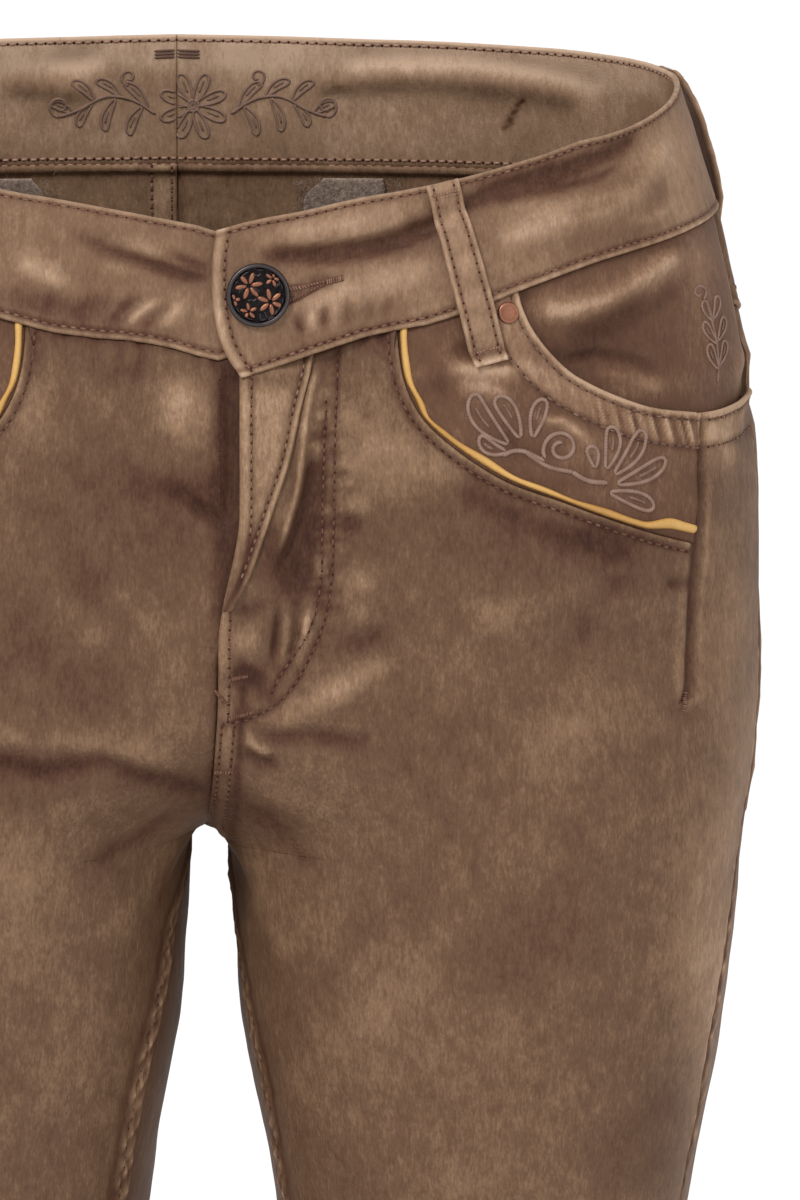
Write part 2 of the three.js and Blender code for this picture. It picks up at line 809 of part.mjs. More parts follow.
[["left", 1], ["right", -1]].forEach(([word, side]) => {
  add(`front_${word}`, frontPanel(side), "sateen");
  add(`back_${word}`, backPanel(side), "sateen");
  add(`yoke_${word}`, yoke(side), "sateen");
  add(`waistband_${word}`, waistband(side), "band");
  add(`pocket_inset_${word}`, pocketInset(side), "embroidered");
  add(`pocket_facing_${word}`, pocketFacing(side), "embroidered");
  add(`piping_${word}`, piping(side), "leather");
  add(`rivet_${word}`, rivet(side), "copper");
  add(`back_pocket_${word}`, backPocket(side), "sateen");
  add(`embroidery_backing_${word}`, backing(side), "backing");
  LOOPS.slice(0, 2).forEach((loop) => {
    add(`belt_loop_${loop.name}_${word}`, beltLoop(loop, side), "band");
  });
});
add("belt_loop_back", beltLoop(LOOPS[2], 1), "band");
add("fly_wedge", flyWedge(), "band");
add("zip_tape", zipTape(), "tape");
add("zip_slider", zipSlider(), "gunmetal");
add("button", buttonSolid(), "gunmetal");

export default part;
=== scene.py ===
"""Lederhosen-style slim jeans, filled out as worn: the looks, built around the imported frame.

Lengths are millimetres in the frame's own axes: +Z up, front towards -Y, +X on the
wearer's left. The form and the outlines repeat part.mjs, so each piece lies where its
solid is. A piece is a lattice of (u, z) on the form with a height for each face. side is
1 for the wearer's left and -1 for the right.
"""
import math

import bpy
import numpy as np
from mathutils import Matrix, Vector

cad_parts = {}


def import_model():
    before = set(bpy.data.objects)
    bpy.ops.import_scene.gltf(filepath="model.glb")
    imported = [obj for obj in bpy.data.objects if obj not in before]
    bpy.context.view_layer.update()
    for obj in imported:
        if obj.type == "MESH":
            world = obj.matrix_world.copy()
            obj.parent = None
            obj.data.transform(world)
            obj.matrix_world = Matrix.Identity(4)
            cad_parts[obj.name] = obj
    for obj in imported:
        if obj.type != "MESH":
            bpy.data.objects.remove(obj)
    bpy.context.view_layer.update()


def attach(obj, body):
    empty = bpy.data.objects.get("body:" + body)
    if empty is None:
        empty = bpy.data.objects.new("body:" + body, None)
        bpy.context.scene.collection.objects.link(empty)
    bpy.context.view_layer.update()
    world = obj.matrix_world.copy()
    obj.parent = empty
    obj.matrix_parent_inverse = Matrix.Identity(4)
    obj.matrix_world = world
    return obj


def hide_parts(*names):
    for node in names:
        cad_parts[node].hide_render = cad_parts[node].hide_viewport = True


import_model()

rng = np.random.default_rng(11)
METRES = 0.001
WORD = {1: "left", -1: "right"}

# ---------------------------------------------------------------- sizes
# As in part.mjs, or a little changed after the photograph.
CLOTH = 1.4
BAND_CLOTH = 2.2
LOOP_CLOTH = 1.8
HEM_Z = -1005.0
HEM_TURN = 20.0
CROTCH_Z = -229.0
SADDLE = 5.5
FRONT_RISE = 78.0
BACK_RISE = 105.0
SQUARENESS = 0.035
SADDLE_REACH = 0.14
SIDE_ANGLE = 83.0
INSEAM_TURN = 14.0
INSEAM_WORN = {1: 19.0, -1: 32.0, 0: 14.0}  # worn, the legs twist: the inseams come forward,
SIDE_WORN = {1: 17.0, -1: 0.0, 0: 0.0}      # and so does the wearer's left side seam
FLY_EDGE_X = 7.9
FLY_FROM_Z = -100.0
FLY_TO_Z = -150.0
FLY_LIFT = 2.0
BAND_LIFT = BAND_CLOTH + 1.2
BAND_LAP = 38.0
BAND_END_DROP = 4.0
RIGHT_OUT = 4.5
BACK_TURN = 15.0
MOUTH_SIDE_Z = -64.0
MOUTH_RISE = 5.7                 # how much the pocket's mouth rises from the dart to the side
BUTTON = dict(x=14.3, z=-24.0, radius=11.4)
RIVET = dict(x=103.5, z=-31.0, radius=3.9)
ZIP = dict(top=-58.0, low=-146.0, teeth_x=15.5, pitch=1.7, cloth=0.8, slider=-70.5)
BACKING = dict(x=63.0, half=23.0, top=4.0, low=-44.0)
LOOP_WIDTH = 12.4
LOOP_LENGTH = 66.0
UNDER_BAND = 3.0                 # how far a piece goes on under the band
YOKE_OVER_BACK = 4.0             # and the back under the yoke
FLY_UNDERLAP = 5.0
BORDER = (6.0, 32.0)             # middle of the border inside the back of the band
SIDE_TAKEN_IN = 3.0              # the waist lies in a little at the sides
LEFT_TAKEN_IN = 5.0              # and its top more at the wearer's left
CROTCH_TURN = 3.0                # the crotch sits a little to the wearer's right
CROTCH_RISE = 5.2                # and is pulled up by the seat
CROTCH_SLANT = 0.45
LEGS_OPEN = 1.9                  # between the legs, just below the crotch
RIGHT_LEG_OUT = 3.6

# Rows of stitches, by distance from the edge that they follow.
MOUTH_ROWS = (2.9, 12.8)
FELLED_ROWS = (1.8, 6.2)         # centre back seam, seen from outside
FELLED_INSIDE = (2.0, 9.5)
YOKE_ROWS = (2.4, 7.6)
POCKET_ROWS = (2.3, 8.2)
POCKET_HEM = 11.5
INSEAM_ROW = 7.0
BAND_TOP_ROW = 2.1
BAND_LOW_ROW = 2.7
BAND_END_ROW = 4.6
BAND_INSIDE_ROWS = (("top", 2.1), ("low", 2.6), ("low", 5.2))
WEDGE_ROWS = {"end": (2.9, 12), "start": (4.3, 26)}   # each with how far above the tip it starts
LOOP_ROW = 2.3

SECTIONS = np.array([  # height, inner and outer side, depth to the front and to the back
    (HEM_Z, 48.5, 133, 44, 53), (-900, 45, 137, 46, 57), (-800, 41.5, 142, 50, 65),
    (-720, 39, 146, 55, 69), (-640, 39, 147, 60, 65), (-560, 39, 149, 67, 63),
    (-500, 36.5, 153, 74, 70), (-450, 33.5, 158.5, 81, 76), (-400, 28.5, 165.5, 87, 82),
    (-356, 21.8, 173, 92, 87), (-312, 14.5, 181, 96, 93), (-268, 9, 187.5, 99, 100),
    (CROTCH_Z, 6.5, 191.5, 102, 109), (-195, 5.5, 195, 105, 118), (-165, 4, 197, 108, 124),
    (-130, 2, 197.5, 110, 126), (-90, 0, 196, 109, 124), (-60, 0, 193, 106, 120),
    (-30, 0, 188.5, 103, 114), (0, 0, 184.5, 100, 108), (16, 0, 182, 98, 105),
    (30, 0, 179.5, 96, 103), (50, 0, 173, 94, 100), (75, 0, 168, 92, 97),
])
WAIST = np.array([  # angle from centre front, height of the band's top and of its seam
    (0, -3.5, -48), (8, 4.5, -42), (16, 11, -35.5), (24, 16.2, -29.5), (34, 23, -20.5),
    (44, 29.5, -12.8), (60, 36.5, -6), (74, 41.8, -2), (90, 47.5, 1), (104, 51, 3),
    (120, 53.4, 4.6), (143, 55.8, 6), (180, 58.8, 7),
])
YOKE = np.array([(SIDE_ANGLE, -34), (110, -45), (140, -58), (180, -72)], float)


# ---------------------------------------------------------------- curves
def read(table, key, column):
    """Smooth value of a table's column at a key, through the rows on both sides of it."""
    keys, values = table[:, 0], table[:, column]
    slopes = np.empty_like(values)
    slopes[1:-1] = (values[2:] - values[:-2]) / (keys[2:] - keys[:-2])
    slopes[0] = (values[1] - values[0]) / (keys[1] - keys[0])
    slopes[-1] = (values[-1] - values[-2]) / (keys[-1] - keys[-2])
    x = np.clip(key, keys[0], keys[-1])
    i = np.clip(np.searchsorted(keys, x, side="right") - 1, 0, len(keys) - 2)
    h = keys[i + 1] - keys[i]
    t = (x - keys[i]) / h
    r = 1 - t
    return ((1 + 2 * t) * r * r * values[i] + t * r * r * h * slopes[i]
            + t * t * (3 - 2 * t) * values[i + 1] + t * t * (t - 1) * h * slopes[i + 1])


def ease(start, stop, value):
    t = np.clip((value - start) / (stop - start), 0, 1)
    return t * t * (3 - 2 * t)


def mix(a, b, t):
    return a + (b - a) * t


def bump(distance, width):
    return np.exp(-(distance / width) ** 2)


def ridges(distance, *rows):
    """Rounded ridges and grooves along an edge: height, distance from the edge, and half width."""
    return sum(height * bump(distance - at, width) for height, at, width in rows)


def fade(distance, reach):
    """1 at an edge and less and less away from it, on both sides."""
    return np.exp(-np.abs(distance) / reach)


def unit(vectors):
    return vectors / np.maximum(np.linalg.norm(vectors, axis=-1, keepdims=True), 1e-9)


def distances(points):
    """Distance of each point from the first, along the line."""
    return np.concatenate([[0], np.cumsum(np.linalg.norm(np.diff(points, axis=0), axis=1))])


def further_out(x, side):
    """How much further from the centre the wearer's right hip and its trims lie."""
    return RIGHT_OUT * (1 - ease(95, 160, x)) if side < 0 else 0 * np.asarray(x, float)


class Line:
    """A smooth line through points (x, z), by distance along it."""

    def __init__(self, points):
        points = np.array(points, float)
        self.table = np.column_stack([distances(points), points])
        self.length = self.table[-1, 0]

    def at(self, t, side=1):
        s = np.asarray(t, float) * self.length
        x = read(self.table, s, 1)
        return x + further_out(x, side), read(self.table, s, 2)

    def dense(self, side=1, step=1.5):
        return np.stack(self.at(np.linspace(0, 1, max(int(self.length / step), 4)), side), -1)


FRONT_EDGE = Line([(64.5, -26), (63.8, -34), (66, -53), (71.5, -66), (79, -74.5), (92, -84.5),
                   (104.5, -91.8), (122, -98.5), (137, -104.5), (155, -111.3), (171, -116.5)])
MOUTH = Line([(106, -23), (111.4, -35.7), (119, -46), (129.2, -54.9), (152.3, -65.6), (173, -69.7)])
END_EDGE = np.array([(-56, 9.0), (-52.9, 7.0), (-47.2, 3.7), (-40, 0.7), (-32.9, -0.9), (-25.7, -1.8),
                     (-18.6, -2.1), (-11.4, -1.8), (-4.2, -0.8), (0, -0.2), (4, 0.2)])
DART_POINTS = [(173, -70.5), (172, -101), (170.5, -125), (169, -150), (168, -172)]
DART = Line(DART_POINTS)
DART_FOOT_X, DART_FOOT_Z = DART_POINTS[-1]
WEDGE_RIDGE = Line([(35, -44), (30, -63), (25.5, -83), (19, -102), (12, -122), (5.5, -136)])
J_OUTER = Line([(43, -44), (42, -67), (41.5, -95), (40, -131), (35, -148), (25, -166), (13.6, -174.5),
                (2.5, -177)])
J_INNER = Line([(38.5, -62), (37.5, -95), (36, -131), (31, -146), (22, -160), (19, -166)])


def near(line, x, z):
    """Distance from points to a polyline, and how far along it the nearest place is."""
    best = np.full(np.shape(x), 1e9)
    along = np.zeros(np.shape(x))
    start = 0.0
    for (ax, az), (bx, bz) in zip(line[:-1], line[1:]):
        dx, dz = bx - ax, bz - az
        length = math.hypot(dx, dz)
        t = np.clip(((x - ax) * dx + (z - az) * dz) / length ** 2, 0, 1)
        d = np.hypot(x - ax - t * dx, z - az - t * dz)
        along = np.where(d < best, start + t * length, along)
        best = np.minimum(best, d)
        start += length
    return best, along, start


# ---------------------------------------------------------------- the garment's form
def round_sine(a):
    return (np.sin(a) + SQUARENESS * np.sin(3 * a)) / (1 - SQUARENESS)


def round_cosine(a):
    return (np.cos(a) - SQUARENESS * np.cos(3 * a)) / (1 - SQUARENESS)


def seam_angle(u, z):
    """How far the rise has gone up at z, and the angle of its seam round the section."""
    up = np.clip((z - CROTCH_Z) / np.where(u <= 1, FRONT_RISE, BACK_RISE), 0, 1)
    return up, np.arccos(1 - up)


def section_angle(u, z, worn_side=0):
    """Angle round the section. worn_side 0 is the cut, without the twist of a worn leg."""
    forward = SIDE_WORN[worn_side] * ease(-160, -300, z) * ease(-980, -760, z)
    side = np.radians(90 + SIDE_ANGLE - forward)
    twist = (INSEAM_WORN[worn_side] - INSEAM_TURN) * ease(-700, -380, z)
    turned = np.radians(INSEAM_TURN * ease(0, 90, CROTCH_Z - z) + twist * ease(-3, 30, CROTCH_Z - z))
    up, seam = seam_angle(u, z)
    dip = seam * np.abs(1 - u) ** (2.4 - 1.4 * up)
    return np.where(u <= 1, mix(turned, side, u) + dip, mix(side, 2 * math.pi + turned, u - 1) - dip)


def form(u, z, worn_side=0, a=None):
    """Points of the left half: u is 0 at centre front and inseam, 1 at the side seam, 2 behind."""
    u, z = np.broadcast_arrays(np.asarray(u, float), np.asarray(z, float))
    up, seam = seam_angle(u, z)
    a = section_angle(u, z, worn_side) if a is None else a
    inner, outer = read(SECTIONS, z, 1), read(SECTIONS, z, 2)
    n, start = (1 - round_cosine(a)) / 2, (1 - round_cosine(seam)) / 2
    local = 1 - ease(0, SADDLE_REACH, n - start)
    above = mix(local, (1 - n) / (1 - start), ease(0, 0.5, up))
    deep = SADDLE * mix(1.0, 3.5, ease(0.004, 0.06, n - start))
    t = np.clip((CROTCH_Z - z) / deep, 0, 1)
    round_off = mix(np.sqrt(1 - (1 - t) ** 2), ease(0, 1, t), ease(0.003, 0.03, n - start))
    below = local * (1 - round_off)
    x = mix(inner, outer, n) - mix(inner, outer, start) * np.where(up > 0, above, below)
    s = round_sine(a)
    y = -s * np.where(s > 0, read(SECTIONS, z, 3), read(SECTIONS, z, 4))
    return np.stack([x, y, z], -1)


def normals(u, z, worn_side=0):
    past = np.where(z > FLY_TO_Z, 0.2, 0.05)
    inside = lambda v: np.clip(v, -past, 2 + past)
    across = form(inside(u + 0.004), z, worn_side) - form(inside(u - 0.004), z, worn_side)
    a = section_angle(*np.broadcast_arrays(np.asarray(u, float), np.asarray(z, float)), worn_side)
    return unit(np.cross(across, form(u, z + 1.0, worn_side, a) - form(u, z - 1.0, worn_side, a)))


def u_at_x(x, z, low=-0.3, high=1.0):
    """Parameter on the front, or with low=1, high=2 on the back, at a distance from the centre."""
    x, z = np.broadcast_arrays(np.asarray(x, float), np.asarray(z, float))
    a, b = np.full(x.shape, low), np.full(x.shape, high)
    rising = high <= 1
    for _ in range(24):
        middle = (a + b) / 2
        go_up = (form(middle, z)[..., 0] < x) == rising
        a, b = np.where(go_up, middle, a), np.where(go_up, b, middle)
    return (a + b) / 2


def angle_at(u):
    return np.where(u <= 1, u * SIDE_ANGLE, SIDE_ANGLE + (u - 1) * (180 - SIDE_ANGLE))


def at_angle(angle):
    return np.where(angle <= SIDE_ANGLE, angle / SIDE_ANGLE,
                    1 + (angle - SIDE_ANGLE) / (180 - SIDE_ANGLE))


# How much the band's edges lie higher as worn, by degrees from centre front.
TOP_WORN = {1: ([0, 2.5, 4.7, 7, 9, 14, 18, 25, 36, 42, 46, 52],
                [2.7, 2.7, 2.2, 1.3, 0.9, 0.8, 0.2, 0, 0.6, 1.2, 0.4, 0]),
            -1: ([0, 2, 6.2, 11, 15.3, 19.8, 25, 33, 45],
                 [2.2, 2.5, 1.1, 0, -0.7, -1.4, -1.4, -0.8, 0])}
SEAM_WORN = {1: ([0, 2.5, 6.3, 9, 14, 17, 20.5, 25, 31, 36],
                 [-3.0, -3.0, -1.9, -1.3, -1.0, -1.8, -2.6, -1.6, -0.4, 0]),
             -1: ([0, 2, 4, 6.2, 8.8, 11, 15.7, 19.8, 25, 33],
                  [-3.0, -2.6, -1.4, -0.8, -0.7, -1.4, -2.0, -0.9, -0.5, 0])}


def folded_angle(u):
    angle = np.abs(angle_at(np.asarray(u, float)))
    return np.where(angle > 180, 360 - angle, angle)


def seam_z(u, side):
    angle = folded_angle(u)
    return (read(WAIST, angle, 2) - side * BAND_END_DROP * (1 - ease(0, 20, angle))
            + np.interp(angle, *SEAM_WORN[side]))


def band_top_z(u, side):
    angle = folded_angle(u)
    return read(WAIST, angle, 1) + np.interp(angle, *TOP_WORN[side])


def fly_edge_x(z, side):
    return side * FLY_EDGE_X * (1 - ease(FLY_FROM_Z, FLY_TO_Z, z))


def front_lift(x, z, side):
    """The left front lies over the right one at the fly."""
    if side < 0:
        return np.zeros(np.shape(x))
    return FLY_LIFT * (1 - ease(11, 34, x)) * ease(FLY_TO_Z - 12, FLY_TO_Z + 30, z)


def band_lift(p, side):
    """And the band's left end over its right one."""
    if side < 0:
        return np.zeros(p.shape[:-1])
    return BAND_LIFT * (1 - ease(BAND_LAP + 2, BAND_LAP + 26, p[..., 0])) * (p[..., 1] < 0)


# ---------------------------------------------------------------- folds
# Height above the cloth (a trough is negative), width, and the points (x, z) that it runs
# through. Front and back are seen along Y; a side is seen from outside as (y, z).
FRONT_FOLDS = [
    # band, wearer's right
    (-1.7, 2.3, [(-50, -3), (-38, -8.5), (-28, -11.5), (-12, -16.5), (-2, -18.5)]),
    (0.9, 3.2, [(-36, -4), (-26, -7.5), (-17, -10.5)]),
    (-0.9, 1.7, [(-19, -8), (-10, -12), (-2, -14.5)]),
    (1.1, 5.0, [(-76, -7), (-64, -14), (-53, -22)]),
    (-1.0, 3.6, [(-62, -23), (-56, -28), (-50, -30)]),
    (1.3, 1.7, [(-33.5, -37), (-30, -32), (-25, -28), (-19, -25)]),
    (-0.9, 2.0, [(-38, -36), (-34, -29), (-27, -24)]),
    (1.2, 3.6, [(-20, -38), (-16, -32), (-11, -25)]),
    (-0.7, 2.0, [(-53, -34), (-46, -25)]),
    (-0.7, 2.0, [(-44, -33), (-36, -23)]),
    # band, wearer's left
    (-2.2, 3.4, [(14, -10.5), (29, -9.6), (43.6, -8), (58, -5.6), (70, -2.5), (84, 5), (101, 13), (115, 17),
                 (129, 21), (144, 26), (156, 31.5)]),
    (-1.1, 1.3, [(28, -12.5), (44, -12), (58, -9), (72, -4.5)]),
    (-1.2, 1.4, [(96, 7), (108, 10.5), (122, 12.5), (136, 16), (148, 21.5)]),
    (0.9, 1.6, [(24, -6), (40, -5), (56, -1.5), (70, 4)]),
    (-0.8, 1.6, [(120, 3), (132, 5), (146, 9)]),
    (0.7, 1.5, [(146, -2), (158, 1), (168, 6)]),
    (1.9, 4.8, [(98, -7), (115, 0), (135, 4.5), (150, 10), (161, 20), (167, 30)]),
    (-1.1, 5.0, [(118, -9), (140, -7), (158, -3)]),
    (1.7, 6.0, [(27, -31), (45, -25), (62, -20), (80, -14)]),
    (1.0, 4.0, [(20, -3), (40, 0), (60, 5), (70, 9)]),
    (-1.2, 3.0, [(66, 0), (79, -2)]),
    (-0.8, 1.5, [(29, -38), (31.5, -28)]),
    (-0.8, 1.5, [(36, -36), (39, -26)]),
    (-0.7, 1.6, [(43, -35), (47, -23)]),
    (-0.6, 1.5, [(51, -33), (54, -25)]),
    (-0.6, 1.4, [(59, -31), (61, -23)]),
    # front, wearer's right
    (1.7, 8.0, [(-18, -52), (-12, -66), (-12, -80)]),
    (1.3, 9.0, [(-62, -46), (-65, -60), (-72, -76)]),
    (-1.1, 5.0, [(-29, -44), (-26, -56)]),
    (-1.3, 2.0, [(3.0, -50), (4.2, -70), (4.2, -92), (2.5, -108)]),
    (-1.9, 1.9, [(-15, -91), (-8, -98), (-1, -103), (5, -106)]),
    (-0.9, 5.0, [(-38, -88), (-22, -92), (-8, -96)]),
    (1.2, 8.0, [(-64, -128), (-50, -140), (-36, -150)]),
    (1.1, 6.0, [(-40, -126), (-30, -138), (-18, -152), (-10, -164)]),
    (-0.9, 5.0, [(-54, -118), (-44, -132), (-28, -148)]),
    (-1.2, 3.4, [(-86, -188), (-62, -194), (-42, -190), (-26, -196), (-12, -200), (-1, -206)]),
    (0.9, 4.0, [(-86, -181), (-52, -183), (-28, -188), (-12, -192)]),
    (0.8, 5.0, [(-10, -207), (-38, -205), (-62, -211)]),
    (-1.0, 3.5, [(-9, -211), (-24, -222), (-46, -232)]),
    (0.9, 5.0, [(-14, -226), (-24, -244), (-40, -262)]),
    # front, wearer's left
    (1.7, 5.0, [(18, -177), (32, -171), (46, -162), (62, -154)]),
    (-1.1, 3.6, [(41, -151), (52, -148), (64, -142)]),
    (-1.1, 2.8, [(12, -183), (30, -181), (56, -184)]),
    (1.4, 2.0, [(9.5, -181), (14, -184), (21, -188)]),
    (-1.6, 2.3, [(8.5, -186), (14, -190), (24, -193)]),
    (1.1, 5.0, [(11, -200), (28, -205), (46, -212)]),
    (-1.0, 3.6, [(13, -208), (26, -221), (38, -238)]),
    (0.9, 5.0, [(12, -223), (20, -246), (27, -272)]),
    (-1.1, 2.4, [(43.5, -106), (53, -107)]),
    (1.0, 3.0, [(44, -99), (57, -99)]),
    (1.3, 5.0, [(45, -120), (55, -130)]),
    (1.0, 4.0, [(44, -137), (55, -139)]),
    (1.4, 12.0, [(50, -72), (62, -80), (80, -93)]),
    (-1.2, 5.0, [(84, -92), (104, -103), (124, -111), (152, -119)]),
    (0.9, 7.0, [(88, -142), (112, -136), (138, -126)]),
    (-0.9, 5.0, [(134, -138), (130, -152)]),
    (-0.9, 4.5, [(144, -124), (141, -135)]),
    (-1.2, 2.5, [(160, -130), (169, -131)]),
    (-1.2, 3.6, [(163, -170), (168, -177), (175, -181)]),
    (1.2, 5.0, [(178, -92), (176, -112), (174, -132)]),
    # inside the fly's J
    (-2.3, 3.6, [(37.5, -68), (36, -82), (34.2, -95), (31.5, -108), (29, -120), (27.5, -130)]),
    (1.9, 1.35, [(36.6, -47), (34.2, -54), (32.2, -61.4), (31.2, -68.5), (30.4, -75.6), (28.8, -90),
                 (27.2, -97), (25.2, -104), (22.9, -111.4), (21.4, -116)]),
    (1.3, 2.4, [(36.0, -64), (38, -68)]),
    (1.7, 2.4, [(35.6, -75), (36.4, -84)]),
    (1.1, 1.8, [(37.5, -99), (38.6, -103)]),
    (1.6, 2.2, [(36.4, -116), (36.2, -125)]),
    (-1.0, 1.2, [(41, -86), (48, -88)]),
    (-0.9, 1.2, [(41, -101), (52, -105)]),
    (2.0, 4.6, [(4, -148), (10, -147), (16.5, -145)]),
    (-1.9, 3.6, [(4, -158.5), (12, -160), (17, -163)]),
    (-1.3, 3.0, [(6, -135), (12, -136), (17, -133)]),
    (-1.6, 1.5, [(34.8, -80), (32, -92), (28.5, -103), (25, -114), (22, -124)]),
    (-1.7, 1.3, [(21.5, -133), (20.5, -146), (18.7, -157)]),
    (1.1, 1.8, [(24, -132), (24.2, -147), (22, -158)]),
    (-1.2, 1.4, [(28.3, -130), (28.3, -144), (24.5, -155)]),
    (1.6, 2.2, [(33, -132), (30.8, -147), (26, -158)]),
    # pocket
    (2.0, 3.6, [(80, -50), (95, -51.5), (110, -52)]),
    (-1.6, 3.2, [(82, -43.5), (98, -45)]),
    (1.4, 2.0, [(112, -69), (124, -70), (131, -76), (136, -84)]),
    (1.2, 2.6, [(84, -57), (98, -58), (108, -62)]),
    (-1.2, 3.5, [(98, -70), (108, -80), (122, -85)]),
    (1.9, 3.4, [(112, -32), (126, -31), (142, -26), (158, -18), (170, -11)]),
    (-1.3, 2.4, [(124, -40), (140, -35), (156, -27)]),
    (-1.4, 1.7, [(122, -49), (136, -46), (150, -49), (162, -55)]),
    (0.9, 2.6, [(134, -53), (150, -56), (164, -61)]),
    # knees and shins, worn in but out of the photograph's view
    (2.0, 6.8, [(52, -560), (90, -548), (130, -556)]),
    (-2.3, 6.0, [(56, -585), (92, -574), (134, -584)]),
    (1.6, 6.0, [(60, -612), (96, -602), (136, -614)]),
    (1.8, 6.8, [(-54, -552), (-96, -560), (-134, -548)]),
    (-2.2, 6.0, [(-52, -578), (-90, -588), (-132, -574)]),
    (1.6, 6.0, [(-60, -604), (-98, -616), (-136, -602)]),
    (1.8, 6.0, [(60, -930), (90, -938), (124, -930)]),
    (-1.8, 5.1, [(58, -952), (88, -958), (126, -948)]),
    (1.8, 6.0, [(-62, -936), (-92, -928), (-126, -938)]),
    (-1.8, 5.1, [(-58, -958), (-90, -950), (-124, -960)]),
]
BACK_FOLDS = [
    # band, seen from inside
    (-1.5, 5.0, [(50, 37), (70, 42), (98, 43), (122, 41), (150, 36)]),
    (1.3, 5.0, [(60, 50), (98, 51), (130, 47), (158, 40)]),
    (1.2, 4.5, [(-52, 50), (-40, 48), (-24, 51)]),
    (-1.0, 4.0, [(-66, 41), (-50, 39), (-30, 36)]),
    (0.9, 3.5, [(58, 32), (62, 40)]),
    # seat
    (-1.8, 6.0, [(8, -196), (34, -204), (66, -206), (100, -198)]),
    (1.5, 7.0, [(8, -184), (36, -190), (70, -190)]),
    (-1.7, 6.0, [(-8, -198), (-36, -206), (-70, -204), (-104, -196)]),
    (1.5, 7.0, [(-8, -186), (-38, -192), (-74, -188)]),
    (-1.5, 6.0, [(12, -226), (40, -240), (74, -244)]),
    (-1.5, 6.0, [(-12, -228), (-42, -240), (-78, -240)]),
    (1.2, 6.0, [(14, -240), (34, -262), (60, -276)]),
    (1.2, 6.0, [(-14, -242), (-36, -262), (-64, -272)]),
    # backs of the knees
    (-2.0, 6.0, [(50, -556), (90, -566), (136, -552)]),
    (1.6, 6.0, [(52, -572), (92, -584), (138, -568)]),
    (-1.8, 6.0, [(54, -592), (90, -604), (134, -590)]),
    (1.3, 6.0, [(56, -610), (92, -622), (132, -608)]),
    (-2.0, 6.0, [(-52, -560), (-92, -550), (-138, -564)]),
    (1.6, 6.0, [(-54, -576), (-94, -566), (-136, -582)]),
    (-1.8, 6.0, [(-56, -598), (-92, -588), (-132, -602)]),
    (1.2, 6.0, [(-58, -618), (-94, -606), (-134, -620)]),
    (1.2, 7.0, [(58, -900), (90, -910), (126, -898)]),
    (-1.2, 6.0, [(58, -924), (92, -932), (128, -922)]),
    (1.2, 7.0, [(-60, -904), (-94, -896), (-128, -908)]),
    (-1.2, 6.0, [(-58, -928), (-90, -918), (-126, -932)]),
]
SIDE_FOLDS = [  # the wearer's left, then right
    [(1.4, 5.0, [(-38, -60), (-10, -52), (24, -58)]), (-1.2, 5.0, [(-34, -78), (0, -70), (30, -76)]),
     (0.6, 9.0, [(-30, -200), (6, -212), (44, -204)]), (-0.35, 10.0, [(-34, -232), (4, -244), (46, -236)]),
     (1.0, 7.0, [(-34, -566), (0, -578), (36, -568)]), (-1.0, 6.0, [(-30, -590), (2, -600), (38, -590)])],
    [(1.3, 5.0, [(-36, -54), (-6, -62), (28, -54)]), (-1.2, 5.0, [(-38, -74), (-4, -80), (26, -72)]),
     (0.8, 8.0, [(-32, -220), (2, -210), (42, -222)]), (-0.7, 8.0, [(-30, -242), (6, -232), (40, -244)]),
     (1.0, 7.0, [(-32, -574), (2, -564), (38, -576)]), (-1.0, 6.0, [(-34, -598), (0, -588), (36, -600)])],
]
WAVES = [  # slow waves of the whole cloth: height, how fast it turns along x, y and z, and phase
    (0.20, 0.050, 0.031, 0.043, 0.3), (0.17, -0.072, 0.044, 0.061, 1.9), (0.15, 0.034, -0.085, 0.092, 4.1),
    (0.12, 0.121, 0.053, -0.077, 2.6), (0.10, -0.093, 0.112, 0.138, 5.2), (0.08, 0.174, -0.121, 0.165, 0.9),
    (0.06, 0.31, 0.17, 0.24, 3.3), (0.05, -0.27, 0.22, 0.39, 1.2),
]
FOLD_GAIN = (1.35, 0.72)         # of a narrow fold and of a broad one
HIDDEN_GAIN = 1.5                # of the folds on the back and on the sides


def fold_heights(folds, x, z, weight):
    total = np.zeros(x.shape)
    for height, width, points in folds:
        line = np.array(points, float)
        lo, hi = line.min(0) - 2.6 * width, line.max(0) + 2.6 * width
        chosen = (x > lo[0]) & (x < hi[0]) & (z > lo[1]) & (z < hi[1]) & (weight > 0)
        if not chosen.any():
            continue
        d, along, length = near(line, x[chosen], z[chosen])
        reach = min(0.35 * length, 9.0)
        taper = ease(-0.15 * reach, reach, along) * ease(-0.15 * reach, reach, length - along)
        gain = mix(*FOLD_GAIN, ease(2.4, 6.0, width))
        total[chosen] += gain * height * bump(d, width) * taper * weight[chosen]
    return total


def relief(p):
    """Height of the folds and waves at points on the form."""
    x, y, z = p[..., 0], p[..., 1], p[..., 2]
    total = fold_heights(FRONT_FOLDS, x, z, ease(22, -18, y))
    total += HIDDEN_GAIN * fold_heights(BACK_FOLDS, x, z, ease(-22, 18, y))
    out = ease(0.72, 0.94, np.abs(x) / read(SECTIONS, z, 2))
    for folds, chosen in zip(SIDE_FOLDS, (x > 0, x < 0)):
        total += HIDDEN_GAIN * fold_heights(folds, y, z, out * chosen)
    for height, kx, ky, kz, phase in WAVES:
        total += height * np.sin(kx * x + ky * y + kz * z + phase)
    return total


def ripple(along, pitch, phase=0.0):
    """An uneven wave between -1 and 1."""
    a = 2 * math.pi * along / pitch + phase
    return (0.6 * np.sin(a + 1.1 * np.sin(0.31 * a + phase)) + 0.3 * np.sin(1.73 * a + 2 * phase)
            + 0.2 * np.sin(0.57 * a + 1.3))
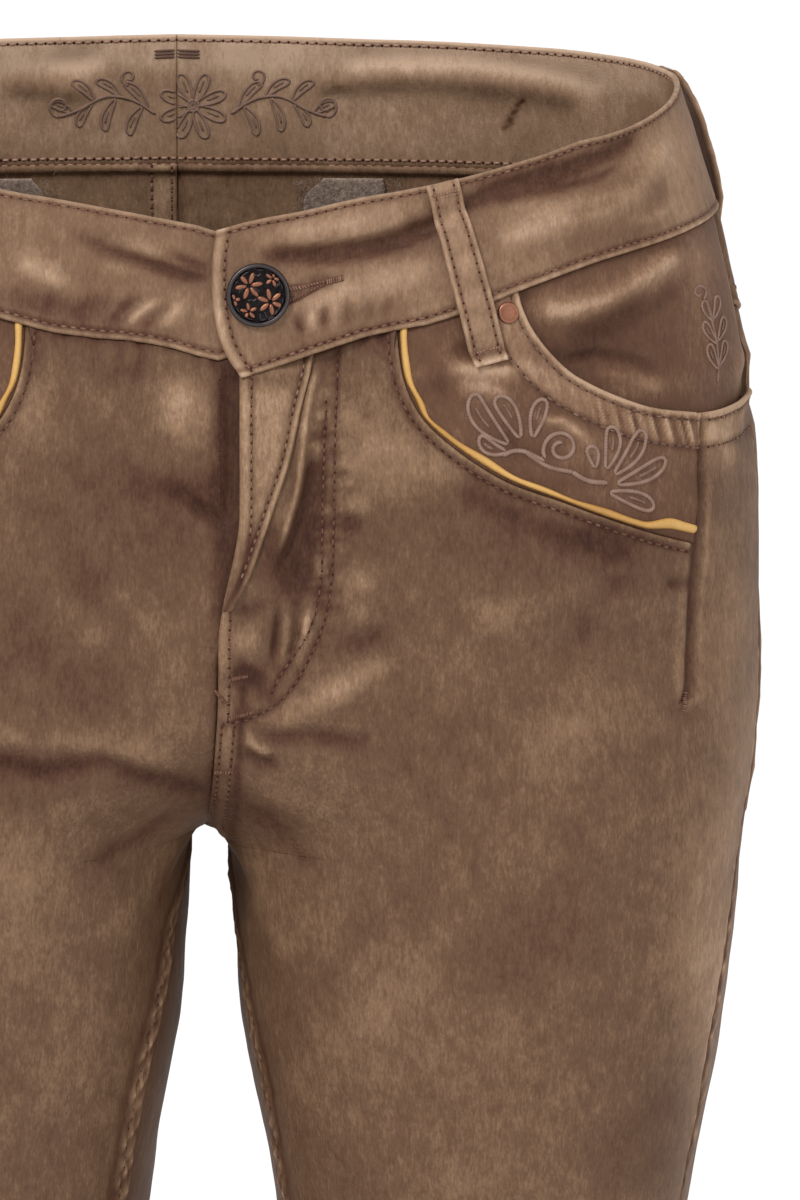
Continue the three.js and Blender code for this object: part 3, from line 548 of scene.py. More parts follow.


# Painted light and shade on the front, such as shadows by the fly and at the crotch and highlights on
# puckers, mixed with lighter and darker places of the dyed cloth: amount, x, z, reach in x and in z.
FRONT_SHADING_AND_DYE = [
    (-0.33, 0, -213, 10, 10), (-0.30, -10, -200, 22, 11), (-0.25, 16, -205, 18, 12),
    (-0.22, -12, -92, 22, 8), (-0.55, 3.4, -76, 3.0, 30), (-0.12, -30, -104, 26, 14),
    (0.16, -68, -62, 14, 20), (0.12, -14, -66, 10, 15), (-0.2, -30, -50, 18, 7),
    (-0.12, -60, -150, 30, 20), (0.10, -38, -140, 22, 14), (-0.15, -50, -198, 40, 8),
    (0.12, 58, -76, 20, 15), (-0.20, 118, -112, 38, 9), (-0.15, 150, -125, 26, 12),
    (0.10, 108, -137, 30, 8), (0.2, 40, -164, 18, 7),
    (-0.42, 33.5, -98, 5.5, 20), (-0.5, 29, -119, 7, 11), (-0.4, 9, -160, 8, 5), (0.35, 35.8, -79, 2.2, 5),
    (0.35, 36.4, -120, 2.4, 6), (0.25, 46, -66, 5, 6), (0.18, 50, -127, 8, 6),
    (0.18, 186, -110, 9, 40), (0.35, 186, -200, 8, 60), (0.3, 178, -290, 10, 60),
    (-0.2, 20, -235, 12, 30), (-0.12, 132, -230, 26, 30), (-0.35, 122, -46, 20, 5),
    (-0.25, 144, -42, 24, 8), (0.22, 126, -29, 20, 6), (0.2, 156, -18, 16, 7), (0.5, 96, -51, 16, 4),
    (0.35, 150, -60, 20, 4), (0.3, 176, -14, 5, 14),
    (0.30, 45, -27, 30, 8), (0.35, 140, 4, 26, 6), (-0.4, 118, 15, 34, 5), (-0.4, 74, -1, 9, 5),
    (0.3, 168, 20, 7, 22), (-0.25, -55, -27, 20, 6), (-0.3, -20, -17, 20, 4),
    (-0.25, 60, -8, 34, 4), (0.1, -60, -10, 18, 5), (0.25, 172, -40, 6, 20),
    (-0.24, -45, -132, 50, 44), (-0.16, 88, -145, 50, 36), (0.35, 173, -245, 12, 60), (-0.2, 137, 1, 24, 7),
    (0.3, 181, -76, 7, 9), (-0.35, 79, -56, 4, 7), (0.2, 83, -43, 5, 5), (-0.2, 120, -92, 20, 5),
    (0.35, 83, -86, 9, 8), (0.2, 29, -134, 7, 8), (0.1, -5, -190, 30, 20), (-0.12, -30, -35, 40, 6),
    (-0.10, -56, -14, 30, 14), (-0.35, 28, -129, 9, 7), (-0.4, 22.5, -119, 3.0, 10),
    (-0.35, 26.6, -92, 1.2, 16),
    (-0.15, -64, -96, 20, 14), (0.16, 63, -52, 10, 8), (-0.12, 62, -105, 20, 8), (0.14, 118, -180, 30, 16),
    (0.14, -66, -240, 26, 24), (-0.12, 96, -260, 24, 20), (0.12, 60, -300, 20, 26), (-0.1, 142, -320, 22, 26),
]
# Painted shade along creases and painted highlight along ridges: amount, width, and the points (x, z) that it
# runs through.
FRONT_CREASE_SHADING = [
    # band, wearer's right
    (-0.50, 1.4, [(-35, -8.5), (-28, -10.8), (-20, -13), (-11.8, -16), (-2.9, -18.4)]),
    (-0.40, 1.6, [(-17, -8.5), (-10, -11.6), (-3, -14.4)]),
    (0.55, 3.4, [(-76, -12), (-66, -14.5), (-56, -18.5), (-49, -25.6)]),
    (-0.60, 4.5, [(-78, -21), (-68, -26), (-57, -31)]),
    (-0.45, 2.6, [(-42, -21), (-46, -29), (-50, -35)]),
    (0.50, 1.5, [(-33, -38), (-29.6, -32), (-24, -27.8), (-19, -25)]),
    (0.50, 1.7, [(-21, -37), (-17, -31), (-11, -25.6)]),
    (-0.40, 2.2, [(-40, -36), (-35, -29), (-27, -22.5)]),
    (-0.40, 2.0, [(-27, -37), (-22.5, -31.5), (-15, -26)]),
    (0.30, 3.0, [(-44, -12), (-30, -16), (-16, -21)]),
    (-0.30, 5.0, [(-52, -33), (-30, -35.5), (-8, -39)]),
    # band, wearer's left
    (-0.30, 3.6, [(86, 7), (101, 13), (115, 17), (129, 21), (144, 26), (156, 31.5)]),
    (0.30, 4.0, [(98, 2.5), (120, 9), (136, 14), (150, 21), (161, 29)]),
    (-0.55, 5.0, [(122, 1), (140, 4), (156, 7.5), (168, 11)]),
    (0.30, 4.0, [(96, -6), (110, -3), (124, 1)]),
    (-0.25, 2.8, [(12, -10.5), (29, -9.6), (43.6, -7.8), (58, -5.3), (68, -3), (79, -2.5)]),
    (0.35, 3.2, [(10, -4.5), (36, -1), (60, 3.5)]),
    (0.45, 5.0, [(30, -28), (46, -22), (62, -16), (78, -12)]),
    (-0.75, 1.5, [(27.2, -30), (28.4, -34), (30.5, -38)]), (0.45, 2.2, [(32.6, -29), (34, -38)]),
    (-0.90, 1.5, [(37, -27), (38.4, -36)]), (0.35, 1.6, [(41.5, -27), (42.6, -36)]),
    (-0.45, 1.9, [(45.5, -36), (47.5, -25)]), (-0.35, 1.4, [(53, -34), (55, -26)]),
    (-0.35, 1.4, [(60, -32), (61.5, -25)]), (-0.30, 4.5, [(46, -32), (58, -29), (74, -24)]),
    # front, wearer's right
    (-0.40, 3.0, [(-24, -90), (-14, -92), (-6, -98), (2, -104)]),
    (0.22, 9.0, [(-66, -48), (-68, -66), (-76, -84)]), (0.25, 5.0, [(-16, -50), (-14, -64), (-17, -78)]),
    (-0.35, 5.0, [(-84, -188), (-60, -194), (-36, -191), (-14, -200)]),
    (0.10, 5.0, [(-64, -126), (-48, -138), (-30, -150)]),
    (-0.25, 6.0, [(-76, -146), (-60, -160), (-40, -168)]),
    # front, wearer's left
    (0.20, 5.0, [(16, -177), (32, -171), (48, -161), (64, -152)]),
    (-0.30, 4.0, [(14, -184), (30, -182), (56, -186)]), (0.40, 2.0, [(9, -181), (14, -184.5), (21, -188)]),
    (-0.35, 5.0, [(84, -92), (104, -103), (124, -111), (152, -119)]),
    (0.15, 7.0, [(48, -70), (62, -80), (82, -94)]), (-0.25, 5.0, [(42, -146), (60, -138), (78, -136)]),
    (-0.55, 4.0, [(7, -107), (13, -106), (19, -108), (22, -112)]),
    (-0.65, 4.0, [(22, -108), (18.5, -116), (14, -127)]),
    (0.40, 2.0, [(33.5, -130), (32, -142), (28, -153)]),
    # pocket and the strip beside it
    (0.30, 5.5, [(112, -30), (128, -30), (146, -25), (160, -18), (170, -11)]),
    (-0.55, 3.0, [(124, -43), (142, -38), (160, -29), (170, -22)]),
    (0.45, 1.6, [(112, -69), (122, -70), (129, -75), (133, -82)]),
    (0.35, 3.0, [(83, -56), (96, -58), (106, -64)]),
    (0.80, 2.6, [(173.5, -80), (178, -77.5), (183, -83), (185.5, -96)]),
    (-0.5, 3.0, [(175, -90), (178, -99), (177, -112)]),
]
CREASE_SHADING_GAIN = 0.6


def front_shading_and_dye(p):
    """Painted light and shade of the front, with the dye's lighter and darker places, at points on the form.
    """
    x, y, z = p[..., 0], p[..., 1], p[..., 2]
    total = CREASE_SHADING_GAIN * fold_heights(FRONT_CREASE_SHADING, x, z, np.ones(x.shape))
    for amount, cx, cz, rx, rz in FRONT_SHADING_AND_DYE:
        total += amount * np.exp(-((x - cx) / rx) ** 2 - ((z - cz) / rz) ** 2)
    return total * ease(25, -15, y)


# ---------------------------------------------------------------- meshes
def worn(points):
    """The garment is worn turned a little: centre back and crotch lie to the wearer's right."""
    points = np.array(points, float)
    x, y, z = points.T
    turn = BACK_TURN * ease(0, 100, y) * ease(-150, -20, z)
    taken_in = SIDE_TAKEN_IN * np.sign(x) * ease(140, 184, np.abs(x)) * ease(-45, 5, z)
    taken_in = taken_in + LEFT_TAKEN_IN * ease(128, 180, x) * ease(-8, 34, z)
    crotch = CROTCH_TURN * bump(x, 55.0) * ease(-165, -228, z) * ease(-420, -235, z)
    apart = LEGS_OPEN * np.sign(x) * np.exp(-np.abs(x) / 60) * ease(-224, -234, z) * ease(-300, -262, z)
    leg_out = RIGHT_LEG_OUT * ease(0, -12, x) * ease(-270, -345, z) * ease(-640, -420, z) * ease(-190, -60, x)
    points[:, 0] += apart - leg_out - turn - taken_in - crotch
    points[:, 2] += ease(115, 60, np.abs(y)) * (CROTCH_RISE * bump(x + 7, 30.0) * bump(z - CROTCH_Z, 20.0)
                                                - CROTCH_SLANT * x * bump(x, 9.0) * bump(z - CROTCH_Z, 12.0))
    return points


def mesh_object(name, points, faces, material, tone=None, smooth=True):
    """faces is a list of index arrays, one for each number of corners."""
    mesh = bpy.data.meshes.new(name)
    faces = [f for f in faces if len(f)]
    corners = np.concatenate([f.ravel() for f in faces])
    counts = np.concatenate([np.full(len(f), f.shape[1]) for f in faces])
    mesh.vertices.add(len(points))
    mesh.vertices.foreach_set("co", (worn(points) * METRES).astype(np.float32).ravel())
    mesh.loops.add(len(corners))
    mesh.loops.foreach_set("vertex_index", corners.astype(np.int32))
    mesh.polygons.add(len(counts))
    starts = np.concatenate([[0], np.cumsum(counts)[:-1]])
    mesh.polygons.foreach_set("loop_start", starts.astype(np.int32))
    mesh.polygons.foreach_set("use_smooth", np.full(len(counts), smooth))
    mesh.update(calc_edges=True)
    if tone is not None:
        attribute = mesh.attributes.new("tone", "FLOAT", "POINT")
        attribute.data.foreach_set("value", np.asarray(tone, np.float32).ravel())
    mesh.materials.append(material)
    made = bpy.data.objects.new(name, mesh)
    bpy.context.scene.collection.objects.link(made)
    return made


def shell(quads, count):
    """Faces of a thin closed shell: its outer quads, the inner ones count points on, and its rim."""
    ends = np.concatenate([np.stack([quads[:, i], quads[:, (i + 1) % 4]], -1) for i in range(4)])
    lone = ends[~np.isin(ends[:, 0] * count + ends[:, 1], ends[:, 1] * count + ends[:, 0])]
    rim = np.stack([lone[:, 1], lone[:, 0], lone[:, 0] + count, lone[:, 1] + count], -1)
    return np.concatenate([quads, quads[:, ::-1] + count, rim])


def lattice_quads(index, side):
    """Faces between the rows and columns of an index lattice, where it is 0 or more."""
    a, b, c, d = index[:-1, :-1], index[:-1, 1:], index[1:, 1:], index[1:, :-1]
    whole = (a >= 0) & (b >= 0) & (c >= 0) & (d >= 0)
    quads = np.stack([a[whole], b[whole], c[whole], d[whole]], -1)
    return quads if side > 0 else quads[:, ::-1]


NEAR_EDGE = np.array([0, 0.35, 0.9, 1.5, 2.1, 2.8, 3.7, 5.0])   # grid lines near a piece's edge
# Even faces across and up each lattice, between those near its edges. The strip lies between
# the front's dart and the side seam; its rows are those beside the pocket's mouth.
COLUMNS = {"front": 102, "strip": 11, "back": 48, "yoke": 76, "back_pocket": 44, "waistband": 262,
           "pocket_inset": 96, "fly_wedge": 16, "belt_loop": 8, "embroidery_backing": 20}
ROWS = {"front": 58, "strip": 16, "back": 36, "yoke": 20, "back_pocket": 38, "waistband": 26,
        "pocket_inset": 34, "pocket_facing": 36, "fly_wedge": 46, "belt_loop": 30,
        "embroidery_backing": 22}
# About how high and how wide the lattices are, which sets how close the lines at the edges lie.
HEIGHT = {"back": 140.0, "yoke": 60.0, "back_pocket": 95.0, "waistband": 48.0, "pocket_facing": 50.0,
          "fly_wedge": 95.0, "belt_loop": LOOP_LENGTH, "embroidery_backing": 48.0}
POCKET_WIDTH = 108.0
WEDGE_WIDTH = 26.0
INSET_LENGTH = 150.0


def shares(length, count, start=True, stop=True, bunch=0.0):
    """Shares of a length, close together near its start and its stop; bunch draws them to the start."""
    length = np.asarray(length, float)[..., None]
    lines = NEAR_EDGE * np.minimum(1, length / 14)
    low = lines[..., :-1] if start else lines[..., :0]
    high = (length - lines[..., :-1])[..., ::-1] if stop else lines[..., :0]
    first = lines[..., -1:] if start else 0 * length
    last = length - lines[..., -1:] if stop else length
    even = np.linspace(0, 1, count + 1)
    middle = first + (last - first) * even * (1 - bunch + bunch * even)
    return np.concatenate([low, middle, high], -1) / length


def upward(kind):
    """Shares of a piece's height, as a column."""
    return shares(HEIGHT[kind], ROWS[kind])[:, None]


def arcs(u0, u1, z, count, start=True, stop=True, bunch=0.0):
    """u at level rows z, from u0 to u1 by distance along the cloth."""
    u0, u1 = np.broadcast_to(u0, z.shape), np.broadcast_to(u1, z.shape)
    u = u0[:, None] + (u1 - u0)[:, None] * np.linspace(0, 1, 61)
    p = form(u, z[:, None])
    s = np.concatenate([np.zeros((len(z), 1)),
                        np.cumsum(np.linalg.norm(np.diff(p, axis=1), axis=-1), 1)], 1)
    wanted = shares(s[:, -1], count, start, stop, bunch) * s[:, -1:]
    return np.stack([np.interp(wanted[i], s[i], u[i]) for i in range(len(z))])


class Piece:
    """A piece of cloth over a lattice of (u, z): rows go up, columns go round from the front."""

    def __init__(self, side, u, z, valid=None):
        self.side = side
        self.u, self.z = np.broadcast_arrays(u, z)
        self.valid = np.ones(self.u.shape, bool) if valid is None else valid
        self.base, self.normal = form(self.u, self.z, side), normals(self.u, self.z, side)
        self.x = self.base[..., 0].copy()
        self.base[..., 0] *= side
        self.normal[..., 0] *= side
        up = np.linalg.norm(np.diff(self.base, axis=0), axis=-1)
        self.from_low = np.concatenate([np.zeros((1, self.u.shape[1])), np.cumsum(up, 0)])
        self.from_top = self.from_low[-1] - self.from_low
        across = np.linalg.norm(np.diff(self.base, axis=1), axis=-1)
        self.from_start = np.concatenate([np.zeros((self.u.shape[0], 1)), np.cumsum(across, 1)], 1)
        self.from_end = self.from_start[:, -1:] - self.from_start
        self.waves = relief(self.base)

    def edges(self, *names):
        """Distance to the nearest of the named edges."""
        return np.minimum.reduce([getattr(self, "from_" + n) for n in names])

    def build(self, node, material, low, high, tone, slot, rounded=None, inside=0.0):
        """Make the piece that stands for a CAD node. low and high are the heights of its two faces above the
        form, without the folds; inside is added to the tone of the inner face, mostly as painted light that
        brightens inner faces lying in shade."""
        low, high = np.broadcast_to(low, self.x.shape), np.broadcast_to(high, self.x.shape)
        edge = self.edges("low", "top", "start", "end") if rounded is None else rounded
        half = (high - low) / 2
        inward = half * 0.9 * (1 - np.sqrt(1 - (1 - np.clip(edge / half, 0, 1)) ** 2))
        self.high, self.low = high + self.waves - inward, low + self.waves + inward
        self.outer = self.base + self.normal * self.high[..., None]
        self.inner = self.base + self.normal * self.low[..., None]
        count = int(self.valid.sum())
        index = np.full(self.valid.shape, -1)
        index[self.valid] = np.arange(count)
        points = np.concatenate([self.outer[self.valid], self.inner[self.valid]])
        tones = np.broadcast_to(tone, self.x.shape)[self.valid].clip(-0.8, 1)
        inside = np.broadcast_to(inside, self.x.shape)[self.valid]
        self.object = mesh_object("cloth_" + node, points, [shell(lattice_quads(index, self.side), count)],
                                  material, np.concatenate([tones, (tones + inside).clip(-1, 1)]))
        settle(self.object, [node])

    def trace(self, edge, distance, skip=(0, 0), inside=False, first=0):
        """A line on the cloth at a distance from an edge, with the normals along it. skip is what
        is left off its ends."""
        from_edge = getattr(self, "from_" + edge)
        surface = self.inner if inside else self.outer
        points, out = [], []
        upward = edge in ("low", "top")
        for i in range(first, self.u.shape[upward]):
            cut = (slice(None), i) if upward else (i, slice(None))
            keep = self.valid[cut]
            d, p, n = from_edge[cut][keep], surface[cut][keep], self.normal[cut][keep]
            if len(d) < 2:
                continue
            order = np.argsort(d)
            if distance > d[order[-1]]:
                continue
            points.append([np.interp(distance, d[order], p[order, k]) for k in range(3)])
            out.append([np.interp(distance, d[order], n[order, k]) for k in range(3)])
        points, out = np.array(points), np.array(out) * (-1 if inside else 1)
        return trimmed(points, out, *skip)

    def on(self, x, z, inside=False, back=False, lift=0.0):
        """Points on the cloth at distances x from the centre line, on its own side, and heights z."""
        x, z = np.asarray(x, float), np.asarray(z, float)
        heights = (self.low if inside else self.high)[self.valid]
        gx, gz = self.x[self.valid], self.z[self.valid]
        h = np.empty(x.shape)
        for i in range(0, len(x), 200):
            d = (gx[None] - x[i:i + 200, None]) ** 2 + (gz[None] - z[i:i + 200, None]) ** 2
            nearest = np.argpartition(d, 3, axis=1)[:, :4]
            w = 1 / (np.take_along_axis(d, nearest, 1) + 0.02)
            h[i:i + 200] = (w * heights[nearest]).sum(1) / w.sum(1)
        u = u_at_x(x, z, 1.0, 2.0) if back else u_at_x(x, z)
        p, n = form(u, z), normals(u, z)
        p = p + n * (h + lift * (-1 if inside else 1))[:, None]
        if inside:
            n = -n
        mirrored = np.array([self.side, 1, 1])
        return p * mirrored, n * mirrored

    def line(self, points, **options):
        """A drawn line on the cloth through points (x, z)."""
        dense = points.dense(step=1.0) if isinstance(points, Line) else Line(points).dense(step=1.0)
        return self.on(dense[:, 0], dense[:, 1], **options)


def trimmed(points, out, start, stop):
    s = distances(points)
    keep = (s >= start) & (s <= s[-1] - stop)
    return points[keep], out[keep]


def cut(piece, kind, held, *rests_on):
    """Takes a piece of cloth and does nothing with it."""


def settle(made, replaces=()):
    """Every piece rides on the one body, and the CAD nodes that it replaces are hidden."""
    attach(made, "root")
    if replaces:
        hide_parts(*replaces)


# ---------------------------------------------------------------- threads
def sampled(where, s, vectors):
    """Vectors at distances along a line, from those at the distances s."""
    return np.stack([np.interp(where, s, vectors[:, k]) for k in range(3)], -1)


class Threads:
    """Many short threads in one mesh: stitches, bartacks and embroidery."""

    def __init__(self):
        self.points, self.quads, self.tris, self.tones, self.count = [], [], [], [], 0

    def sweep(self, centres, ahead, out, width, height, tones, sides=6):
        """Closed tubes. centres is (tubes, rings, 3); width and height are (tubes, rings)."""
        tubes, rings = centres.shape[:2]
        across = unit(np.cross(out, ahead))
        turn = np.arange(sides) * 2 * math.pi / sides
        p = (centres[:, :, None] + across[:, :, None] * (np.cos(turn)[:, None] * width[..., None, None])
             + out[:, :, None] * (np.sin(turn)[:, None] * height[..., None, None]))
        self.points.append(p.reshape(-1, 3))
        self.tones.append(np.repeat(tones.reshape(-1), sides))
        first = self.count + np.arange(tubes)[:, None, None] * rings * sides
        ring = np.arange(rings - 1)[:, None] * sides
        k, after = np.arange(sides), (np.arange(sides) + 1) % sides
        quad = np.stack(np.broadcast_arrays(first + ring + k, first + ring + after,
                                            first + ring + sides + after, first + ring + sides + k), -1)
        self.quads.append(quad.reshape(-1, 4))
        for end, order in ((0, -1), ((rings - 1) * sides, 1)):
            fan = np.stack([np.zeros(sides - 2, int), np.arange(1, sides - 1), np.arange(2, sides)], -1)
            self.tris.append((first + end + fan[:, ::order]).reshape(-1, 3))
        self.count += tubes * rings * sides

    def stitches(self, line, pitch=3.7, length=2.3, width=0.42, tone=0.0, hole_shade=True):
        """A row of stitches along a line on the cloth, each diving into a hole at both ends."""
        points, out = line
        if len(points) < 2:
            return
        s = distances(points)
        count = int(s[-1] / pitch)
        if count < 1:
            return
        centre = (np.arange(count) + 0.5) * s[-1] / count
        offsets = np.array([-0.5, -0.27, 0.27, 0.5]) * length
        where = centre[:, None] + offsets * (1 + 0.06 * rng.standard_normal((count, 1)))
        p, n = sampled(where, s, points), unit(sampled(where, s, out))
        t = unit(np.gradient(p, axis=1))
        p += np.cross(n, t) * 0.08 * rng.standard_normal((count, 1, 1))
        p += n * np.array([-0.3, 0.1, 0.1, -0.3])[:, None]
        size = np.array([0.45, 1.0, 1.0, 0.45]) * width * np.ones((count, 1))
        # each stitch is painted darker at its ends, where the thread dives, and lighter on top: painted shade
        # and highlight
        shade = np.array([-1.0, 0.8, 0.8, -1.0]) * 0.3 + tone + 0.12 * rng.standard_normal((count, 1))
        self.sweep(p, t, n, size, size * 0.85, shade + 0 * where, 5)
        if hole_shade:
            self.hole_shade(points, out, s, np.linspace(0, s[-1], count + 1), width)

    def hole_shade(self, points, out, s, where, width):
        """Painted shade in the needle holes between the stitches: small dark marks where the thread dives."""
        p, n = sampled(where, s, points), unit(sampled(where, s, out))
        ahead = np.minimum(where + 0.3, s[-1])
        t = unit(sampled(ahead, s, points) - sampled(ahead - 0.6, s, points))
        reach, height = np.array([-0.85, 0.0, 0.85]), np.array([-0.15, 0.05, -0.15])
        centres = p[:, None] + t[:, None] * reach[:, None] + n[:, None] * height[:, None]
        size = np.array([0.5, 1.6, 0.5]) * width * np.ones((len(where), 1))
        ones = np.ones((len(where), 3, 1))
        self.sweep(centres, t[:, None] * ones, n[:, None] * ones, size, size * 0.26,
                   np.full((len(where), 3), -0.85), 5)

    def rope(self, line, width=0.55, height=0.42, tone=0.2, twist=1.1, step=0.55):
        """An embroidered line: one tube, ribbed where its stitches cross it."""
        points, out = line
        s = distances(points)
        where = np.linspace(0, s[-1], max(int(s[-1] / step), 3))
        p, n = sampled(where, s, points), unit(sampled(where, s, out))
        t = unit(np.gradient(p, axis=0))
        rib = 1 + 0.16 * np.sin(2 * math.pi * where / twist + 0.7 * np.sin(where))
        end = np.minimum(1, 0.35 + np.minimum(where, s[-1] - where) / (2 * width))
        size = width * rib * end
        # the ribs are painted a little lighter where they bulge: painted highlight
        self.sweep(p[None], t[None], n[None], size[None], (size * height / width)[None],
                   (tone + 0.35 * (rib - 1) + 0.08 * np.sin(where * 0.9))[None], 6)

    def bar(self, line, width, tone):
        """One thread from end to end of a line."""
        reach = np.linalg.norm(line[0][-1] - line[0][0])
        self.stitches(line, reach * 0.99, reach, width, tone, hole_shade=False)

    def bartack(self, piece, centre, angle, length=9.0, width=2.0, tone=-0.1, **options):
        """A bar of close stitches over a few long ones, its middle at (x, z)."""
        a = math.radians(angle)
        ahead, across = np.array([math.cos(a), math.sin(a)]), np.array([-math.sin(a), math.cos(a)])
        ends = [np.array(centre) + ahead * length * k for k in (-0.5, 0.5)]
        for side in (-0.28, 0.28):
            points = [tuple(e + across * side * width) for e in ends]
            self.rope(piece.line([points[0], tuple(np.mean(points, 0)), points[1]], **options),
                      0.4, 0.3, tone - 0.2)
        for k in np.linspace(-0.5, 0.5, int(length / 0.75) + 1):
            middle = np.array(centre) + ahead * length * k
            points = middle + (across + ahead * 0.18) * width * np.array([[-0.5], [0], [0.5]])
            line = piece.on(points[:, 0], points[:, 1], **options)
            self.bar((line[0] + line[1] * 0.25, line[1]), 0.34, tone)

    def build(self, name, material, slot):
        made = mesh_object(name, np.concatenate(self.points),
                           [np.concatenate(self.quads), np.concatenate(self.tris)],
                           material, np.concatenate(self.tones))
        settle(made)


# ---------------------------------------------------------------- materials
def linear(*rgb):
    """A colour given in sRGB from 0 to 255, as the shaders take it."""
    return tuple(c / 12.92 if c <= 0.04045 else ((c + 0.055) / 1.055) ** 2.4
                 for c in (v / 255 for v in rgb)) + (1.0,)


class Shader:
    """One procedural material, its places in millimetres."""

    def __init__(self, name, **constants):
        self.material = bpy.data.materials.new(name)
        self.material.use_nodes = True
        self.tree = self.material.node_tree
        self.tree.nodes.clear()
        output = self.node("ShaderNodeOutputMaterial")
        self.bsdf = self.node("ShaderNodeBsdfPrincipled")
        self.tree.links.new(self.bsdf.outputs["BSDF"], output.inputs["Surface"])
        for key, value in constants.items():
            self.bsdf.inputs[key.replace("_", " ")].default_value = value
        where = self.node("ShaderNodeTexCoord").outputs["Object"]
        self.place = self.node("ShaderNodeVectorMath", {0: where, 1: (1000, 1000, 1000)},
                               operation="MULTIPLY").outputs["Vector"]

    def node(self, kind, inputs=None, **settings):
        made = self.tree.nodes.new(kind)
        for key, value in settings.items():
            setattr(made, key, value)
        for key, value in (inputs or {}).items():
            if isinstance(value, bpy.types.NodeSocket):
                self.tree.links.new(value, made.inputs[key])
            else:
                made.inputs[key].default_value = value
        return made

    def noise(self, size, detail=3.0, rough=0.55, stretch=(1, 1, 1)):
        """Noise from 0 to 1 with patches of about this size in millimetres."""
        scale = tuple(1 / (size * k) for k in stretch)
        place = self.node("ShaderNodeVectorMath", {0: self.place, 1: scale}, operation="MULTIPLY")
        return self.node("ShaderNodeTexNoise", {"Vector": place.outputs["Vector"], "Scale": 1.0,
                                                "Detail": detail, "Roughness": rough}).outputs["Fac"]

    def math(self, operation, *values):
        inputs = {i: v for i, v in enumerate(values)}
        return self.node("ShaderNodeMath", inputs, operation=operation).outputs["Value"]

    def total(self, *terms):
        """Sum of (factor, value) with each noise taken about its middle."""
        result = None
        for factor, value in terms:
            part = self.math("MULTIPLY_ADD", value, factor, -0.5 * factor)
            result = part if result is None else self.math("ADD", result, part)
        return result

    def tone(self):
        return self.node("ShaderNodeAttribute", attribute_name="tone").outputs["Fac"]

    def ramp(self, value, stops):
        made = self.node("ShaderNodeValToRGB", {"Fac": value})
        elements = made.color_ramp.elements
        while len(elements) > 1:
            elements.remove(elements[-1])
        for i, (place, colour) in enumerate(stops):
            element = elements[0] if i == 0 else elements.new(place)
            element.position, element.color = place, linear(*colour)
        return made.outputs["Color"]

    def set(self, key, value):
        self.tree.links.new(value, self.bsdf.inputs[key])

    def colour(self, value, *stops):
        self.set("Base Color", self.ramp(value, stops))

    def dyed(self, dye, *stops):
        """The colour by the tone painted on the mesh and a dye, both about 0."""
        self.colour(self.math("MULTIPLY_ADD", self.math("ADD", self.tone(), dye), 0.5, 0.5), *stops)

    def rough(self, noise, spread, middle):
        self.set("Roughness", self.math("MULTIPLY_ADD", noise, spread, middle - spread / 2))

    def relief(self, height, distance, strength=1.0):
        made = self.node("ShaderNodeBump", {"Height": height, "Distance": distance * METRES,
                                            "Strength": strength})
        self.set("Normal", made.outputs["Normal"])


def cloth_material(name, mottle, *stops):
    """Dyed sateen: a colour ramp over the painted tone, cloudy and speckled by the dye."""
    s = Shader(name, Sheen_Weight=0.05, Sheen_Roughness=0.5, Sheen_Tint=linear(206, 150, 112),
               Specular_IOR_Level=0.17)
    dye = s.total((0.22 * mottle, s.noise(38, 2, 0.5)), (0.62 * mottle, s.noise(11, 4, 0.7)),
                  (0.95 * mottle, s.noise(4.2, 4, 0.75, (0.8, 0.8, 1.9))),
                  (0.85 * mottle, s.noise(1.3, 2, 0.7, (0.7, 0.7, 2.2))))
    s.dyed(dye, *stops)
    s.rough(s.noise(9, 3), 0.14, 0.62)
    ribs = s.node("ShaderNodeTexWave", {"Vector": s.place, "Scale": 0.9, "Distortion": 2.5,
                                        "Detail": 2.0, "Detail Scale": 1.5},
                  bands_direction="DIAGONAL").outputs["Fac"]
    height = s.total((0.14, ribs), (0.8, s.noise(0.9, 2)), (1.6, s.noise(5.5, 3)))
    s.relief(height, 0.16, 0.9)
    return s.material


SATEEN = cloth_material("sateen", 1.0, (0.0, (56, 30, 20)), (0.22, (78, 50, 36)), (0.5, (101, 75, 56)),
                        (0.75, (133, 104, 80)), (1.0, (170, 140, 113)))
BAND = cloth_material("band_sateen", 0.8, (0.0, (62, 36, 25)), (0.22, (90, 61, 45)), (0.5, (119, 91, 70)),
                      (0.75, (153, 123, 98)), (1.0, (192, 162, 137)))
EMBROIDERED = cloth_material("embroidered_sateen", 0.8, (0.0, (58, 32, 22)), (0.25, (80, 53, 38)),
                             (0.5, (99, 70, 52)), (0.75, (134, 103, 80)), (1.0, (176, 146, 120)))


def thread_material(name, *stops):
    s = Shader(name, Roughness=0.7, Specular_IOR_Level=0.15)
    s.dyed(s.total((0.4, s.noise(6))), *stops)
    s.relief(s.noise(0.35, 2, 0.6, (1, 1, 0.5)), 0.1)
    return s.material


def leather_material():
    s = Shader("piping_leather", Specular_IOR_Level=0.45)
    grain = s.node("ShaderNodeTexVoronoi", {"Vector": s.place, "Scale": 1.1}).outputs["Distance"]
    s.dyed(s.total((0.5, s.noise(7)), (0.25, s.noise(1.6))),
           (0.0, (96, 62, 26)), (0.3, (150, 106, 50)), (0.55, (188, 140, 72)), (1.0, (222, 180, 108)))
    s.rough(s.noise(3), 0.2, 0.52)
    s.relief(s.total((0.7, grain), (0.8, s.noise(2.2))), 0.14)
    return s.material


def metal_material(name, dark, light, rough):
    s = Shader(name, Metallic=1.0)
    s.dyed(s.total((0.7, s.noise(1.8)), (0.5, s.noise(0.5))), (0.1, dark), (0.9, light))
    s.rough(s.noise(1.2), 0.22, rough)
    s.relief(s.noise(0.45, 3), 0.05)
    return s.material


def fuzzy_material():
    s = Shader("backing_fleece", Roughness=0.95, Sheen_Weight=0.5)
    s.colour(s.noise(1.6, 4, 0.7), (0.2, (88, 70, 58)), (0.5, (146, 124, 108)), (0.85, (198, 178, 162)))
    s.relief(s.noise(0.8, 4, 0.75), 0.6)
    return s.material


